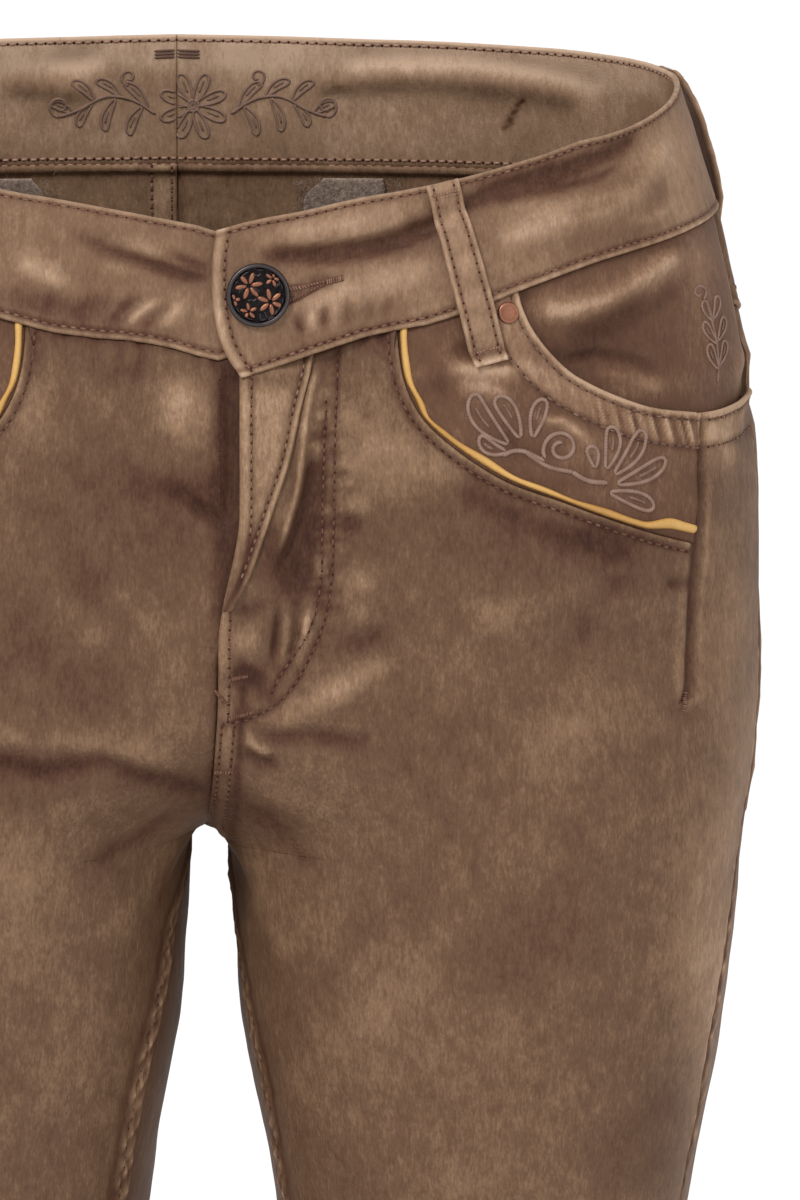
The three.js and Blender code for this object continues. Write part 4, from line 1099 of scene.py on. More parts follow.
def tape_material():
    s = Shader("zip_tape", Roughness=0.85)
    rib = s.node("ShaderNodeTexWave", {"Vector": s.place, "Scale": 0.9, "Distortion": 0.4},
                 bands_direction="Z").outputs["Fac"]
    s.colour(s.total((0.5, rib), (0.6, s.noise(0.8)), (1.0, s.noise(2))),
             (0.0, (34, 28, 30)), (0.6, (62, 54, 56)))
    s.relief(rib, 0.15)
    return s.material


THREAD = thread_material("thread", (0.0, (58, 30, 24)), (0.3, (84, 53, 42)), (0.6, (118, 86, 68)),
                         (1.0, (172, 136, 116)))
EMBROIDERY = thread_material("embroidery_thread", (0.0, (66, 42, 34)), (0.45, (108, 82, 70)),
                             (0.65, (134, 107, 93)), (1.0, (168, 141, 126)))
LEATHER = leather_material()
GUNMETAL = metal_material("gunmetal", (24, 20, 21), (84, 78, 78), 0.38)
COPPER = metal_material("copper", (92, 56, 42), (176, 122, 98), 0.46)
FLEECE = fuzzy_material()
TAPE = tape_material()


# ---------------------------------------------------------------- what the pieces share
LOWER_TOP_Z = -150.0             # the front's lattice is level below this
BACK_TOP_Z = -215.0              # and the back's below this
LEG_SEAM = (CROTCH_Z + 2, CROTCH_Z - 14)         # the inseam's relief sets in over these heights
TUCK = 1.7                       # how far a piece sinks where it goes under the band


def tucked(waist):
    """1 where a piece has gone under the band or the yoke, 0 below it."""
    return ease(1.0, -1.0, waist)


def fold_shading_and_wear(piece, share=0.22, most=2.5):
    """Painted highlight on the tops of the folds and painted shade in their troughs, with some wear on the
    tops.
    """
    return share * piece.waves.clip(-most, most)


def felled(distance, *rows):
    """Height of a felled seam's strip, doubled cloth with two rows of stitches."""
    return 0.8 * ease(8.6, 7.4, distance) + ridges(distance, *((-0.5, at, 0.8) for at in rows))


def hemmed(piece, pitch, phase):
    """Height and tone of the turned hem of a leg."""
    hem = piece.z - HEM_Z
    high = -0.45 * bump(hem - HEM_TURN, 0.9) + 0.25 * ease(HEM_TURN, HEM_TURN - 2, hem)
    high += 0.4 * ripple(piece.from_start, pitch, phase) * bump(hem - HEM_TURN + 4, 10)
    return high, 0.4 * bump(hem, 2.0) - 0.3 * bump(hem - HEM_TURN, 1.5)


def hem_inside(piece):
    """Height of the turned hem's inner face."""
    return -0.9 * ease(HEM_TURN + 1, HEM_TURN - 1, piece.z - HEM_Z)


def stitch_hem(threads, piece, rows):
    """The row of stitches at the top of the turned hem."""
    row = int(np.argmin(np.abs(rows - (HEM_Z + HEM_TURN))))
    threads.stitches((piece.outer[row], piece.normal[row]), 3.6)


def trim_z(line, low, high):
    """The part of a line on the cloth between two heights."""
    keep = (line[0][:, 2] > low) & (line[0][:, 2] < high)
    return line[0][keep], line[1][keep]


def leg_rows(top):
    """Heights of the level rows of a leg: close together at the hem and under the crotch."""
    hem = HEM_Z + np.array([0, 0.35, 0.9, 1.6, 2.6, 4, 7, 11, 15, 17.5, 19, 20, 21, 22.5, 25, 29])
    hidden = np.arange(HEM_Z + 36, -404, 11.0)
    shown = np.arange(-400, -240, 3.6)
    saddle = np.array([-238.5, -237, -235.6, -234.2, -232.8, -231.4, -230.2, -229.4, -229, -228.7, -228.2,
                       -227.4, -226.2, -224.6, -222.6, -220.4, -218])
    return np.concatenate([hem, hidden, shown, saddle, np.arange(-215.5, top - 1, 1.9), [top]])


# ---------------------------------------------------------------- front panels
FLY_TOP_Z = -48.0                # the waist seam at the fly
TO_POCKET_X = 53.0               # columns from here on lead to the folded pocket edge
DART_BY_Z = DART.table[::-1][:, [2, 1]]          # the dart's height, and its x there
LOW_DART_BY_Z = np.array(DART_POINTS[:1:-1])[:, ::-1]


def front_lattice(side, rows):
    """The front's u and z, which places are cloth, and how many columns reach to the dart."""
    crotch = rows > CROTCH_Z + 4
    under = -6.0 * ease(-224, -204, rows) if side < 0 else 0.05 * np.ones(len(rows))
    start = np.where(crotch, u_at_x(under, rows), 0.0)
    dart_x = read(LOW_DART_BY_Z, rows, 1)
    dart_u = np.where(rows > DART_FOOT_Z, u_at_x(dart_x, rows), u_at_x(DART_FOOT_X, DART_FOOT_Z))
    main = arcs(start, dart_u, rows, COLUMNS["front"], True, False, 0.55)
    strip = arcs(dart_u, np.ones(len(rows)), rows, COLUMNS["strip"], False, True)
    lower_u = np.concatenate([main, strip[:, 1:]], 1)
    lower_z = np.broadcast_to(rows[:, None], lower_u.shape)

    # Above that, columns lead to the waist seam and to the folded pocket edge.
    bottom = form(lower_u[-1], LOWER_TOP_Z)[:, 0]
    wide = main.shape[1]
    corner = int(np.searchsorted(bottom[:wide], TO_POCKET_X))
    edge_x = fly_edge_x(FLY_TOP_Z, side) - (FLY_UNDERLAP if side < 0 else 0)
    lead = bottom[:corner + 1] - bottom[0]
    seam_u = mix(u_at_x(edge_x, FLY_TOP_Z), u_at_x(*FRONT_EDGE.at(0, side)), lead / lead[-1])
    seam = seam_z(seam_u, side) + UNDER_BAND
    edge = FRONT_EDGE.at(np.linspace(0, 1, wide - corner), side)
    top_x = np.concatenate([form(seam_u, seam)[:corner, 0], edge[0]])
    top_z = np.concatenate([seam[:corner], edge[1]])
    height = np.hypot(top_x - bottom[:wide], top_z - LOWER_TOP_Z)
    part = shares(height, ROWS["front"], False, True).T[1:]
    upper_z = mix(LOWER_TOP_Z, top_z, part)
    fly = fly_edge_x(upper_z, side) - (FLY_UNDERLAP * ease(-150, -140, upper_z) if side < 0 else 0)
    shift = (fly - mix(bottom[0], edge_x, part)) * (1 - (bottom[:wide] - bottom[0]) / 90.0).clip(0)
    upper_u = u_at_x(mix(bottom[:wide], top_x, part) + shift, upper_z)

    # The strip beside the dart goes on up to the pocket mouth.
    strip_rows = upper_z[:, -1]
    reach = MOUTH_SIDE_Z - strip_rows[-1]
    more = strip_rows[-1] + shares(reach, ROWS["strip"], False, True)[1:] * reach
    side_rows = np.concatenate([strip_rows, more])
    side_u = arcs(u_at_x(read(DART_BY_Z, side_rows, 1), side_rows), np.ones(len(side_rows)), side_rows,
                  COLUMNS["strip"], False, True)[:, 1:]
    side_z = np.broadcast_to(side_rows[:, None], side_u.shape).copy()
    risen = (more[:, None] - strip_rows[-1]) / reach
    from_dart = np.linspace(0, 1, side_u.shape[1] + 1)[1:]
    side_z[len(strip_rows):] += risen * -MOUTH_RISE * (1 - ease(0, 1, from_dart))
    extra = len(more)
    upper_u = np.concatenate([upper_u, np.repeat(upper_u[-1:], extra, 0)])
    upper_z = np.concatenate([upper_z, np.repeat(upper_z[-1:], extra, 0)])
    upper_u[-extra:, -1] = u_at_x(read(DART_BY_Z, more, 1), more)
    upper_z[-extra:, -1] = more - MOUTH_RISE * risen[:, 0]
    u = np.concatenate([lower_u, np.concatenate([upper_u, side_u], 1)])
    z = np.concatenate([lower_z, np.concatenate([upper_z, side_z], 1)])
    valid = np.ones(u.shape, bool)
    valid[-extra:, :wide - 1] = False
    return u, z, valid, wide


def front_panel(side):
    rows = leg_rows(LOWER_TOP_Z)
    u, z, valid, wide = front_lattice(side, rows)
    piece = Piece(side, u, z, valid)
    x, z = piece.x, piece.z
    beside = np.arange(u.shape[1]) >= wide - 1
    mouth = np.where(beside, piece.from_top, 99.0)
    waist = np.where(beside, 99.0, seam_z(piece.u, side) - z)
    to_edge = np.where(beside, 99.0, near(FRONT_EDGE.dense(side), x, z)[0])
    to_dart = near(DART.dense(1), x, z)[0]
    below_crotch = ease(*LEG_SEAM, z)
    inseam, outseam, centre = piece.from_start, piece.from_end, z > CROTCH_Z
    lift = front_lift(x, z, side)
    hem_height, hem_tone = hemmed(piece, 14.0, 3.0)

    # Height: the folded pocket edge, the mouth's hem, the dart, and the seams with their puckers.
    high = CLOTH + lift + ridges(to_edge, (0.6, 0.5, 1.1), (-0.45, 3.1, 0.9)) + hem_height
    high += ridges(mouth, (0.6, 1.0, 1.6), (-0.5, MOUTH_ROWS[0], 0.8), (-0.6, MOUTH_ROWS[1], 1.0))
    high += 0.35 * ease(14, 12, mouth) + 0.35 * ripple(x, 6.0) * ease(18, 9, mouth) * ease(0, 4, mouth)
    shown_dart = ease(DART_FOOT_Z - 6, DART_FOOT_Z, z)
    high += shown_dart * ridges(to_dart, (-1.6, 0, 1.0), (0.5, 2.6, 1.4))
    high += 0.5 * ripple(x, 9.0, side) * fade(waist, 9.0) - TUCK * tucked(waist)
    rope = ripple(z + 0.9 * inseam, 8.0, 1.0 + side)
    high += below_crotch * (ease(11.5, 8.5, inseam) * (0.8 + 0.75 * rope * ease(0, 3, inseam))
                            - 0.5 * bump(inseam - INSEAM_ROW, 0.8)
                            + 0.35 * ripple(z, 13.0, 2.0) * fade(inseam - 9, 8))
    high += ridges(outseam, (-0.9, 0, 1.3), (0.3, 3.0, 1.6))
    high += 0.25 * ripple(z, 11.0, side) * fade(outseam, 6.0)
    low = lift + hem_inside(piece) - TUCK * tucked(waist)

    # Tone: the same edges rubbed lighter, with the dye left dark beside them; painted highlight and shade on
    # the folds and on the puckers by the waist, and painted shadow under the band.
    tone = fold_shading_and_wear(piece, 0.30, 3) + front_shading_and_dye(piece.base) + hem_tone
    tone += ridges(to_edge, (0.5, 0.3, 1.2), (-0.4, 3.4, 1.2)) - 0.2 * fade(to_edge, 7.0)
    tone += ridges(mouth, (0.6, 0.8, 1.5), (-0.4, MOUTH_ROWS[0], 0.9), (-0.45, MOUTH_ROWS[1], 1.2))
    tone += 0.30 * ease(14, 11, mouth) + shown_dart * ridges(to_dart, (-0.9, 0, 1.0), (0.25, 3, 2.0))
    tone += 0.2 * ripple(x, 9.0, side) * fade(waist, 8.0) - 0.55 * fade(waist, 3.0)
    tone += below_crotch * (ease(11.5, 8.5, inseam) * (0.20 + 0.75 * rope) - 0.45 * bump(inseam - 12.5, 3.0))
    tone += (0.2 + 0.3 * ripple(z, 11.0, side)) * bump(outseam - 2.2, 2.0) - 0.4 * bump(outseam, 1.0)
    tone += 0.1 * fade(outseam, 9.0)

    if side > 0:
        strip_x = x - 0.3
        below_fly = centre * ease(FLY_TO_Z + 4, FLY_TO_Z - 14, z)
        high += below_fly * (0.8 * ease(8.4, 7.2, strip_x)
                             + ridges(strip_x, (-0.5, 1.7, 0.8), (-0.5, 6.0, 0.8)))
        tone += below_fly * ridges(strip_x, (0.25, 3.8, 2.0), (-0.5, 8.6, 1.4))
        for line, depth in ((J_OUTER, 0.75), (J_INNER, 0.6)):
            d, along, _ = near(line.dense(1), x, z)
            pucker = ripple(along, 8.0, 2.0) * bump(d - 3, 3.0)
            high += 0.4 * pucker - depth * bump(d, 1.0)
            # the puckers are painted lighter on top and darker between them: painted highlight and shade
            tone += 0.2 * pucker - 0.42 * bump(d, 1.3)
        tone += 0.55 * centre * ease(FLY_TO_Z - 30, FLY_TO_Z, z) * bump(piece.from_start - 1.5, 2.0)
    else:
        # The right front runs on under the left one.
        covered = 1.6 * centre * ease(1.6, -0.6, x) * ease(FLY_TO_Z + 4, FLY_TO_Z - 8, z)
        high, low = high - covered, low - covered
        # painted shade on the part of the right front that lies under the left one
        tone -= 0.7 * centre * ease(5, -3, x) * ease(-228, -210, z)
    rounded = np.minimum.reduce([to_edge, mouth, outseam, z - HEM_Z,
                                 np.where(centre | (z < CROTCH_Z), piece.from_start, 99)])
    # inside=0.3 paints the inner face lighter: painted light
    piece.build("front_" + WORD[side], SATEEN, low, high, tone, "sateen", rounded, 0.3)
    cut(piece, "front", "hung", "waistband_" + WORD[side])
    stitch_front(piece, side, rows, wide)


def stitch_front(piece, side, rows, wide):
    threads = Threads()
    dense = FRONT_EDGE.dense(side, 1.0)
    d = unit(np.gradient(dense, axis=0))
    row = dense + np.stack([d[:, 1], -d[:, 0]], -1) * 3.3
    threads.stitches(piece.on(row[8:, 0], row[8:, 1]), tone=-0.3)
    for distance in MOUTH_ROWS:
        threads.stitches(piece.trace("top", distance, (1, 1), first=wide - 1))
    threads.stitches(trim_z(piece.trace("start", INSEAM_ROW), HEM_Z + 22, CROTCH_Z - 24), 3.6)
    stitch_hem(threads, piece, rows)
    if side > 0:
        for line in (J_OUTER, J_INNER):
            threads.stitches(piece.line(line), 3.3, 2.1, 0.36, -0.3)
        threads.stitches(piece.line([(4.4, -136), (4.0, -152), (4.0, -176)]), 3.3, tone=-0.25)
        for row_x, low_z in ((1.9, -222), (6.2, -224)):
            row = [(row_x, -178), (row_x + 0.2, -200), (row_x - 0.4, low_z)]
            threads.stitches(piece.line(row), 3.3, tone=-0.3)
        for place, angle, length in (((7.5, -160.5), 4, 6), ((1.0, -167), -50, 6), ((10, -173.5), 14, 11),
                                     ((4.2, -195), 6, 6)):
            threads.bartack(piece, place, angle, length, 1.4)
    else:
        threads.stitches(piece.line([(-0.6, -54), (-0.8, -75), (-0.6, -98)]), 3.0, 1.8, 0.3, -0.7)
    threads.bartack(piece, (DART_FOOT_X, DART_FOOT_Z - 1), 84, 6, 1.8, 0.0)
    threads.build("stitching_front_" + WORD[side], THREAD, "sateen")


# ---------------------------------------------------------------- backs and yokes
def back_panel(side):
    rows = leg_rows(BACK_TOP_Z)[:-1]
    level = arcs(1.0, 2.0, rows, COLUMNS["back"])
    part = shares(np.full(level.shape[1], HEIGHT["back"]), ROWS["back"], False, True).T[1:]
    # Near the crotch seam the level rows give way to the yoke's even spread.
    spread = arcs(np.ones(1), np.full(1, 2.0), np.array([-90.0]), COLUMNS["back"])[0]
    upper_u = mix(np.broadcast_to(level[-1], part.shape), spread, ease(0, 0.55, part))
    top = read(YOKE, angle_at(upper_u[-1]), 1) + YOKE_OVER_BACK
    z = np.concatenate([np.broadcast_to(rows[:, None], level.shape), mix(rows[-1], top, part)])
    piece = Piece(side, np.concatenate([level, upper_u]), z)
    x, z = piece.x, piece.z
    yoke_line = read(YOKE, angle_at(piece.u), 1) - z
    inseam, outseam = piece.from_end, piece.from_start
    below_crotch, rise = ease(*LEG_SEAM, z), ease(CROTCH_Z, CROTCH_Z + 10, z)
    below_hip = ease(-128, -165, z) * ease(HEM_Z + HEM_TURN, HEM_Z + HEM_TURN + 8, z)
    rope = ripple(z + 0.8 * outseam, 8.5, 2.0 + side)
    seam = below_hip * ease(11, 8.5, outseam)
    hem_height, hem_tone = hemmed(piece, 15.0, 1.0)

    high = CLOTH - 0.9 * bump(outseam, 1.3) + seam * (0.5 + 0.4 * rope * ease(1, 4, outseam)) + hem_height
    high += 0.35 * ripple(x, 10) * fade(yoke_line, 9) - 1.6 * tucked(yoke_line)
    high += 0.3 * below_crotch * ripple(z, 10, 4) * fade(inseam, 7)
    low = hem_inside(piece) - 1.6 * tucked(yoke_line)
    # painted shadow under the yoke, painted shade towards the inseam below the crotch, and the folds' painted
    # light and shade
    tone = fold_shading_and_wear(piece) - 0.4 * below_crotch * fade(inseam, 12) - 0.45 * fade(yoke_line, 3.0) + hem_tone
    tone += (0.1 + 0.25 * ripple(z, 12.0, side)) * bump(outseam - 2.0, 1.8)
    tone += seam * (0.15 + 0.6 * rope) - 0.55 * below_hip * bump(outseam, 1.6)
    # painted shade at the crotch, between the legs
    tone -= 0.6 * np.exp(-((z + 215) / 26) ** 2 - (x / 30) ** 2)
    if side > 0:
        high += rise * felled(inseam, *FELLED_ROWS)
        tone += rise * ridges(inseam, (0.3, 4, 2.2), (-0.45, 9, 1.4))
    # inside=0.4 paints the inner face lighter: painted light
    piece.build("back_" + WORD[side], SATEEN, low, high, tone, "sateen", inside=0.4)
    cut(piece, "back", "hung", "yoke_" + WORD[side])
    threads = Threads()
    stitch_hem(threads, piece, rows)
    if side > 0:
        for distance in FELLED_ROWS:
            threads.stitches(trim_z(piece.trace("end", distance), CROTCH_Z + 6, -76), 3.5)
    threads.build("stitching_back_" + WORD[side], THREAD, "sateen")


def yoke(side):
    u = arcs(np.ones(1), np.full(1, 2.0), np.array([-40.0]), COLUMNS["yoke"])[0]
    part = upward("yoke")
    z = mix(read(YOKE, angle_at(u), 1), seam_z(u, side) + UNDER_BAND, part)
    piece = Piece(side, np.broadcast_to(u, z.shape), z)
    waist = seam_z(piece.u, side) - piece.z
    low_edge, centre, outseam = piece.from_low, piece.from_end, piece.from_start
    high = CLOTH + 0.5 + ridges(low_edge, (0.6, 1.0, 1.6), *((-0.5, at, 0.8) for at in YOKE_ROWS))
    high += 0.4 * ripple(piece.x, 9, side) * fade(waist, 9) - TUCK * tucked(waist) - 0.9 * bump(outseam, 1.3)
    low = -TUCK * tucked(waist)
    if side < 0:
        # Inside, the centre back seam is felled: a strip to the wearer's right, stitched twice.
        low += ridges(centre, *((0.4, at, 0.8) for at in FELLED_INSIDE)) - 0.9 * ease(12.5, 11.3, centre)
        inside = ridges(centre, (0.35, 6, 3.5), (-0.5, 13, 1.5))
    else:
        high += felled(centre, *FELLED_ROWS)
        inside = -0.5 * bump(centre, 3.0)
    tone = fold_shading_and_wear(piece) + ridges(low_edge, (0.5, 0.8, 1.4), (-0.3, YOKE_ROWS[0], 0.9))
    # painted shadow under the band
    tone -= 0.35 * fade(waist, 4.0)
    # the added 0.42 paints the inner face lighter: painted light
    piece.build("yoke_" + WORD[side], SATEEN, low, high, tone, "sateen", inside=inside + 0.42)
    cut(piece, "yoke", "hung", "waistband_" + WORD[side])
    threads = Threads()
    for distance in YOKE_ROWS:
        threads.stitches(piece.trace("low", distance, (3, 3)), 3.5)
    if side > 0:
        for distance in FELLED_ROWS:
            threads.stitches(piece.trace("end", distance, (1, 4)), 3.5)
    else:
        for distance in FELLED_INSIDE:
            threads.stitches(piece.trace("end", distance, (1, 1), inside=True), 3.4)
    threads.build("stitching_yoke_" + WORD[side], THREAD, "sateen")


def back_pocket(side):
    s, part = shares(POCKET_WIDTH, COLUMNS["back_pocket"]), upward("back_pocket")
    x = mix(np.interp(s, [0, 0.5, 1], [58, 108, 157]), mix(52.0, 162.0, s), part)
    z = mix(np.interp(s, [0, 0.5, 1], [-175, -190, -168]), mix(-91.0, -80.0, s), part)
    piece = Piece(side, u_at_x(x, z, 1.0, 2.0), z)
    rim, top = piece.edges("low", "start", "end"), piece.from_top
    high = 2 * CLOTH + 0.5 + ridges(rim, (0.5, 1.0, 1.5), *((-0.45, at, 0.8) for at in POCKET_ROWS))
    high += ridges(top, (0.4, 1, 1.6), (-0.5, POCKET_HEM, 0.9)) + 0.7 * bump(top, 8) * np.sin(math.pi * part)
    # the folds get painted highlight on top and painted shade in their troughs; the edges are rubbed lighter
    tone = 0.22 * piece.waves + 0.55 * bump(np.minimum(rim, top) - 0.7, 1.4)
    tone += ridges(rim, (-0.3, POCKET_ROWS[0], 0.9), (-0.3, POCKET_ROWS[1], 1.0))
    tone -= 0.3 * bump(top - POCKET_HEM, 1.2)
    piece.build("back_pocket_" + WORD[side], SATEEN, CLOTH + 0.3, high, tone, "sateen")
    cut(piece, "back_pocket", "laid", "back_" + WORD[side])
    threads = Threads()
    for distance in POCKET_ROWS:
        for edge in ("start", "end"):
            threads.stitches(piece.trace(edge, distance, (distance, 1.5)), 3.5)
        threads.stitches(piece.trace("low", distance, (distance, distance)), 3.5)
    threads.stitches(piece.trace("top", POCKET_HEM, (2.3, 2.3)), 3.5)
    threads.build("stitching_back_pocket_" + WORD[side], THREAD, "sateen")


# ---------------------------------------------------------------- waistband
def waistband(side):
    part = upward("waistband")
    end_z = mix(seam_z(0.0, side), band_top_z(0.0, side), part[:, 0])
    end_x = read(END_EDGE, end_z, 1) if side > 0 else np.full(len(part), -BAND_LAP)
    u_rows = arcs(u_at_x(end_x, end_z), np.full(len(part), 2.0), end_z + 22, COLUMNS["waistband"],
                  bunch=0.35)
    piece = Piece(side, u_rows, mix(seam_z(u_rows, side), band_top_z(u_rows, side), part))
    x, top, low_edge, along = piece.x, piece.from_top, piece.from_low, piece.from_start
    lift = band_lift(np.concatenate([x[..., None], piece.base[..., 1:]], -1), side)
    end = along if side > 0 else np.full(x.shape, 99.0)       # the right end is covered
    pucker = 0.30 * ripple(along, 7.5, 1.0) * fade(low_edge, 7)
    pucker += 0.18 * ripple(along, 6.0, 2.0) * fade(top, 5)
    high = BAND_CLOTH + lift + ridges(top, (0.35, 0.9, 1.1), (-0.45, BAND_TOP_ROW, 0.7))
    high += ridges(low_edge, (0.45, 1.0, 1.2), (-0.55, BAND_LOW_ROW, 0.8))
    high += ridges(end, (0.5, 2.0, 2.0), (-0.55, BAND_END_ROW, 0.8)) - 0.6 * bump(piece.from_end, 1.2)
    high += pucker + 0.5 * np.sin(math.pi * part)
    low = lift - 0.3 * np.sin(math.pi * part) + 0.3 * bump(low_edge - BAND_LOW_ROW, 0.8)
    low += 0.3 * bump(top - BAND_TOP_ROW, 0.7)
    # the puckers are painted lighter on top and darker between them: painted highlight and shade
    tone = fold_shading_and_wear(piece, 0.25) + front_shading_and_dye(piece.base) + 0.6 * pucker
    tone += ridges(top, (0.42, 0.5, 1.0), (-0.35, 2.2, 0.9))
    tone += ridges(low_edge, (0.42, 0.8, 1.1), (-0.55, 2.8, 1.1))
    tone += ridges(end, (0.6, 1.8, 2.2), (-0.35, 4.7, 0.9))
    # inside: painted light on the band's inner face, more at the back, lighter by its top, with painted shade
    # by its low edge
    behind = ease(0, 30, piece.base[..., 1])
    inside = 0.2 + behind * (0.35 * ease(18, 8, top) - 0.35 * fade(low_edge, 7) + 0.32)
    if side > 0:
        # Painted shade in a crease inside the band, and the buttonhole's slit, sunk and painted darker as
        # shade.
        crease = near(np.array([(122.3, 25.0), (124.4, 30.0), (127.6, 35.5)]), x, piece.z)[0]
        inside -= 1.3 * behind * bump(crease, 0.9)
        slit = near(np.array([(22.0, -25.0), (38.0, -19.6)]), x, piece.z)[0]
        high -= 1.0 * bump(slit, 2.4)
        tone -= 0.7 * bump(slit, 2.8)
    piece.build("waistband_" + WORD[side], BAND, low, high, tone, "band", inside=inside)
    cut(piece, "waistband", "stretched")
    threads = Threads()
    start = BAND_END_ROW if side > 0 else 2.0
    threads.stitches(piece.trace("top", BAND_TOP_ROW, (start, 1)), 3.5)
    threads.stitches(piece.trace("low", BAND_LOW_ROW, (start, 1)), 3.5)
    for edge, distance in BAND_INSIDE_ROWS:
        line = piece.trace(edge, distance, inside=True)
        keep = line[0][:, 1] > -25
        threads.stitches((line[0][keep], line[1][keep]), 3.5, 2.5, 0.5, 0.6)
    if side > 0:
        threads.stitches(piece.trace("start", BAND_END_ROW, (2.4, 2.4)), 3.4)
        buttonhole(piece, threads)
    threads.build("stitching_waistband_" + WORD[side], THREAD, "band")
    return piece


def buttonhole(piece, threads):
    """The keyhole's tail, bound with close stitches, and its end bar."""
    tail = Line([(23, -24.5), (30, -22.6), (38, -19.6)])
    # the upper side is painted a little lighter and the lower a little darker: painted light and shade
    for way, tone in ((1, 0.1), (-1, -0.1)):
        for t in np.linspace(0, 1, 15):
            x, z = tail.at(t)
            reach = np.array([0.25, 0.6, 1.0]) * way * (3.4 * (1 - t) + 0.5)
            lean = np.array([0.0, -0.5, -1.1])
            threads.bar(piece.on(x + lean, z + reach, lift=0.12), 0.36, tone)
        edge = Line([(23, -24.5 + 3.8 * way), (30, -22.6 + 2.2 * way), (38.5, -19.6 + 0.4 * way)])
        threads.rope(piece.line(edge, lift=0.1), 0.42, 0.32, tone - 0.25)
    threads.bartack(piece, (41.5, -18.6), 14, 5.5, 2.4, 0.15, lift=0.1)


# ---------------------------------------------------------------- pocket
INSET_CLOTH = 1.25
FACING_CLOTH = 1.2


def pocket_inset(side):
    s = np.concatenate([shares(INSET_LENGTH, COLUMNS["pocket_inset"]), [1.012, 1.024]])
    low_x, low_z = FRONT_EDGE.at(np.minimum(s, 1), side)
    high_x, high_z = MOUTH.at(np.minimum(s, 1), side)
    past = np.maximum(s - 1, 0) * INSET_LENGTH
    low_x, high_x = low_x + past, high_x + past
    away = np.stack([high_x - low_x, high_z - low_z], -1)
    length = np.linalg.norm(away, axis=-1)
    under = np.array([-4.0, -2.2, -1.0, -0.3])      # rows that lie under the front's edge
    rows = np.concatenate([np.broadcast_to(under[:, None], (4, len(s))),
                           (shares(length, ROWS["pocket_inset"]) * length[:, None]).T])
    x = low_x + away[:, 0] / length * rows
    z = low_z + away[:, 1] / length * rows + 3.5 * ease(0.07, 0.0, s) * ease(0, 14, rows)
    piece = Piece(side, u_at_x(x, z), z)
    mouth, along = piece.from_top, piece.from_start
    waist = seam_z(piece.u, side) - piece.z
    hem = ease(14.2, 12.6, mouth)
    gathered = (0.2 + 0.9 * ease(52, 78, along) * ease(128, 104, along)) * ease(0.5, 3.5, mouth)
    pucker = gathered * ripple(piece.x + 0.25 * piece.z, 4.3, 1.7) * ease(16, 8, mouth)
    high = mix(0.55, INSET_CLOTH, ease(0, 14, rows)) + 0.55 * hem + 0.55 * pucker
    high += ridges(mouth, (0.7, 1.0, 1.7), (-0.55, MOUTH_ROWS[0], 0.8), (-0.75, MOUTH_ROWS[1], 1.0))
    high -= 1.4 * ease(0.6, -0.6, rows) + 1.5 * ease(170.5, 173, piece.x) + TUCK * tucked(waist)
    tone = fold_shading_and_wear(piece) + front_shading_and_dye(piece.base)
    tone += 0.3 * hem * (ease(0, 30, along) + ease(70, 30, along))
    tone += ridges(mouth, (0.5, 0.7, 1.3), (-0.35, MOUTH_ROWS[0], 0.9), (-0.5, 12.9, 1.3))
    # the puckers are painted lighter on top and darker between them, and a painted shadow lies under the band
    tone += 0.7 * pucker - 0.3 * np.exp(-rows / 3.0) - 0.35 * fade(waist, 4.0)
    piece.build("pocket_inset_" + WORD[side], EMBROIDERED, high - INSET_CLOTH, high, tone, "embroidered")
    cut(piece, "pocket_inset", "laid", "front_" + WORD[side])
    threads = Threads()
    for distance in MOUTH_ROWS:
        threads.stitches(piece.trace("top", distance, (3, 2)), tone=-0.2)
    for points, width, tone in INSET_MOTIF:
        shifted = [(px + further_out(px, side), pz) for px, pz in points]
        threads.rope(piece.line(shifted, lift=0.12), width, width * 0.8, tone)
    threads.build("embroidery_pocket_inset_" + WORD[side], EMBROIDERY, "embroidered")
    piping(piece, side)


def teardrop(x, z, angle, length, width, curl=0.0):
    """A closed leaf from its tip at (x, z), pointing along angle and curling by so many degrees."""
    t = np.linspace(0, 1, 21)
    along = length * (1 - np.cos(math.pi * t * 2)) / 2
    across = width * np.sin(2 * math.pi * t) * (0.35 + 0.65 * along / length) * 0.5
    a = np.radians(angle + curl * (along / length) ** 2)
    return [(x + u * math.cos(b) - v * math.sin(b), z + u * math.sin(b) + v * math.cos(b))
            for u, v, b in zip(along, across, a)]


def scroll(x, z, radius, start, turns, shrink=0.72):
    """A spiral round (x, z)."""
    t = np.linspace(0, 1, 22)
    a = np.radians(start) + t * turns * 2 * math.pi
    r = radius * (1 - shrink * t)
    return [(x + q * math.cos(b), z + q * math.sin(b)) for q, b in zip(r, a)]


def vein(x, z, angle, length, curl=0.0):
    """The short line inside a leaf."""
    along = length * np.array([0.42, 0.55, 0.68, 0.8])
    a = np.radians(angle + curl * (along / length) ** 2)
    return [(x + u * math.cos(b), z + u * math.sin(b)) for u, b in zip(along, a)]


def leaf(x, z, angle, length, width, curl=0.0, veined=True, thread=0.72):
    """One embroidered leaf, outlined, with or without its vein."""
    lines = [(teardrop(x, z, angle, length, width, curl), thread, 0.4)]
    return lines + [(vein(x, z, angle, length, curl), 0.75 * thread, 0.1)] * veined


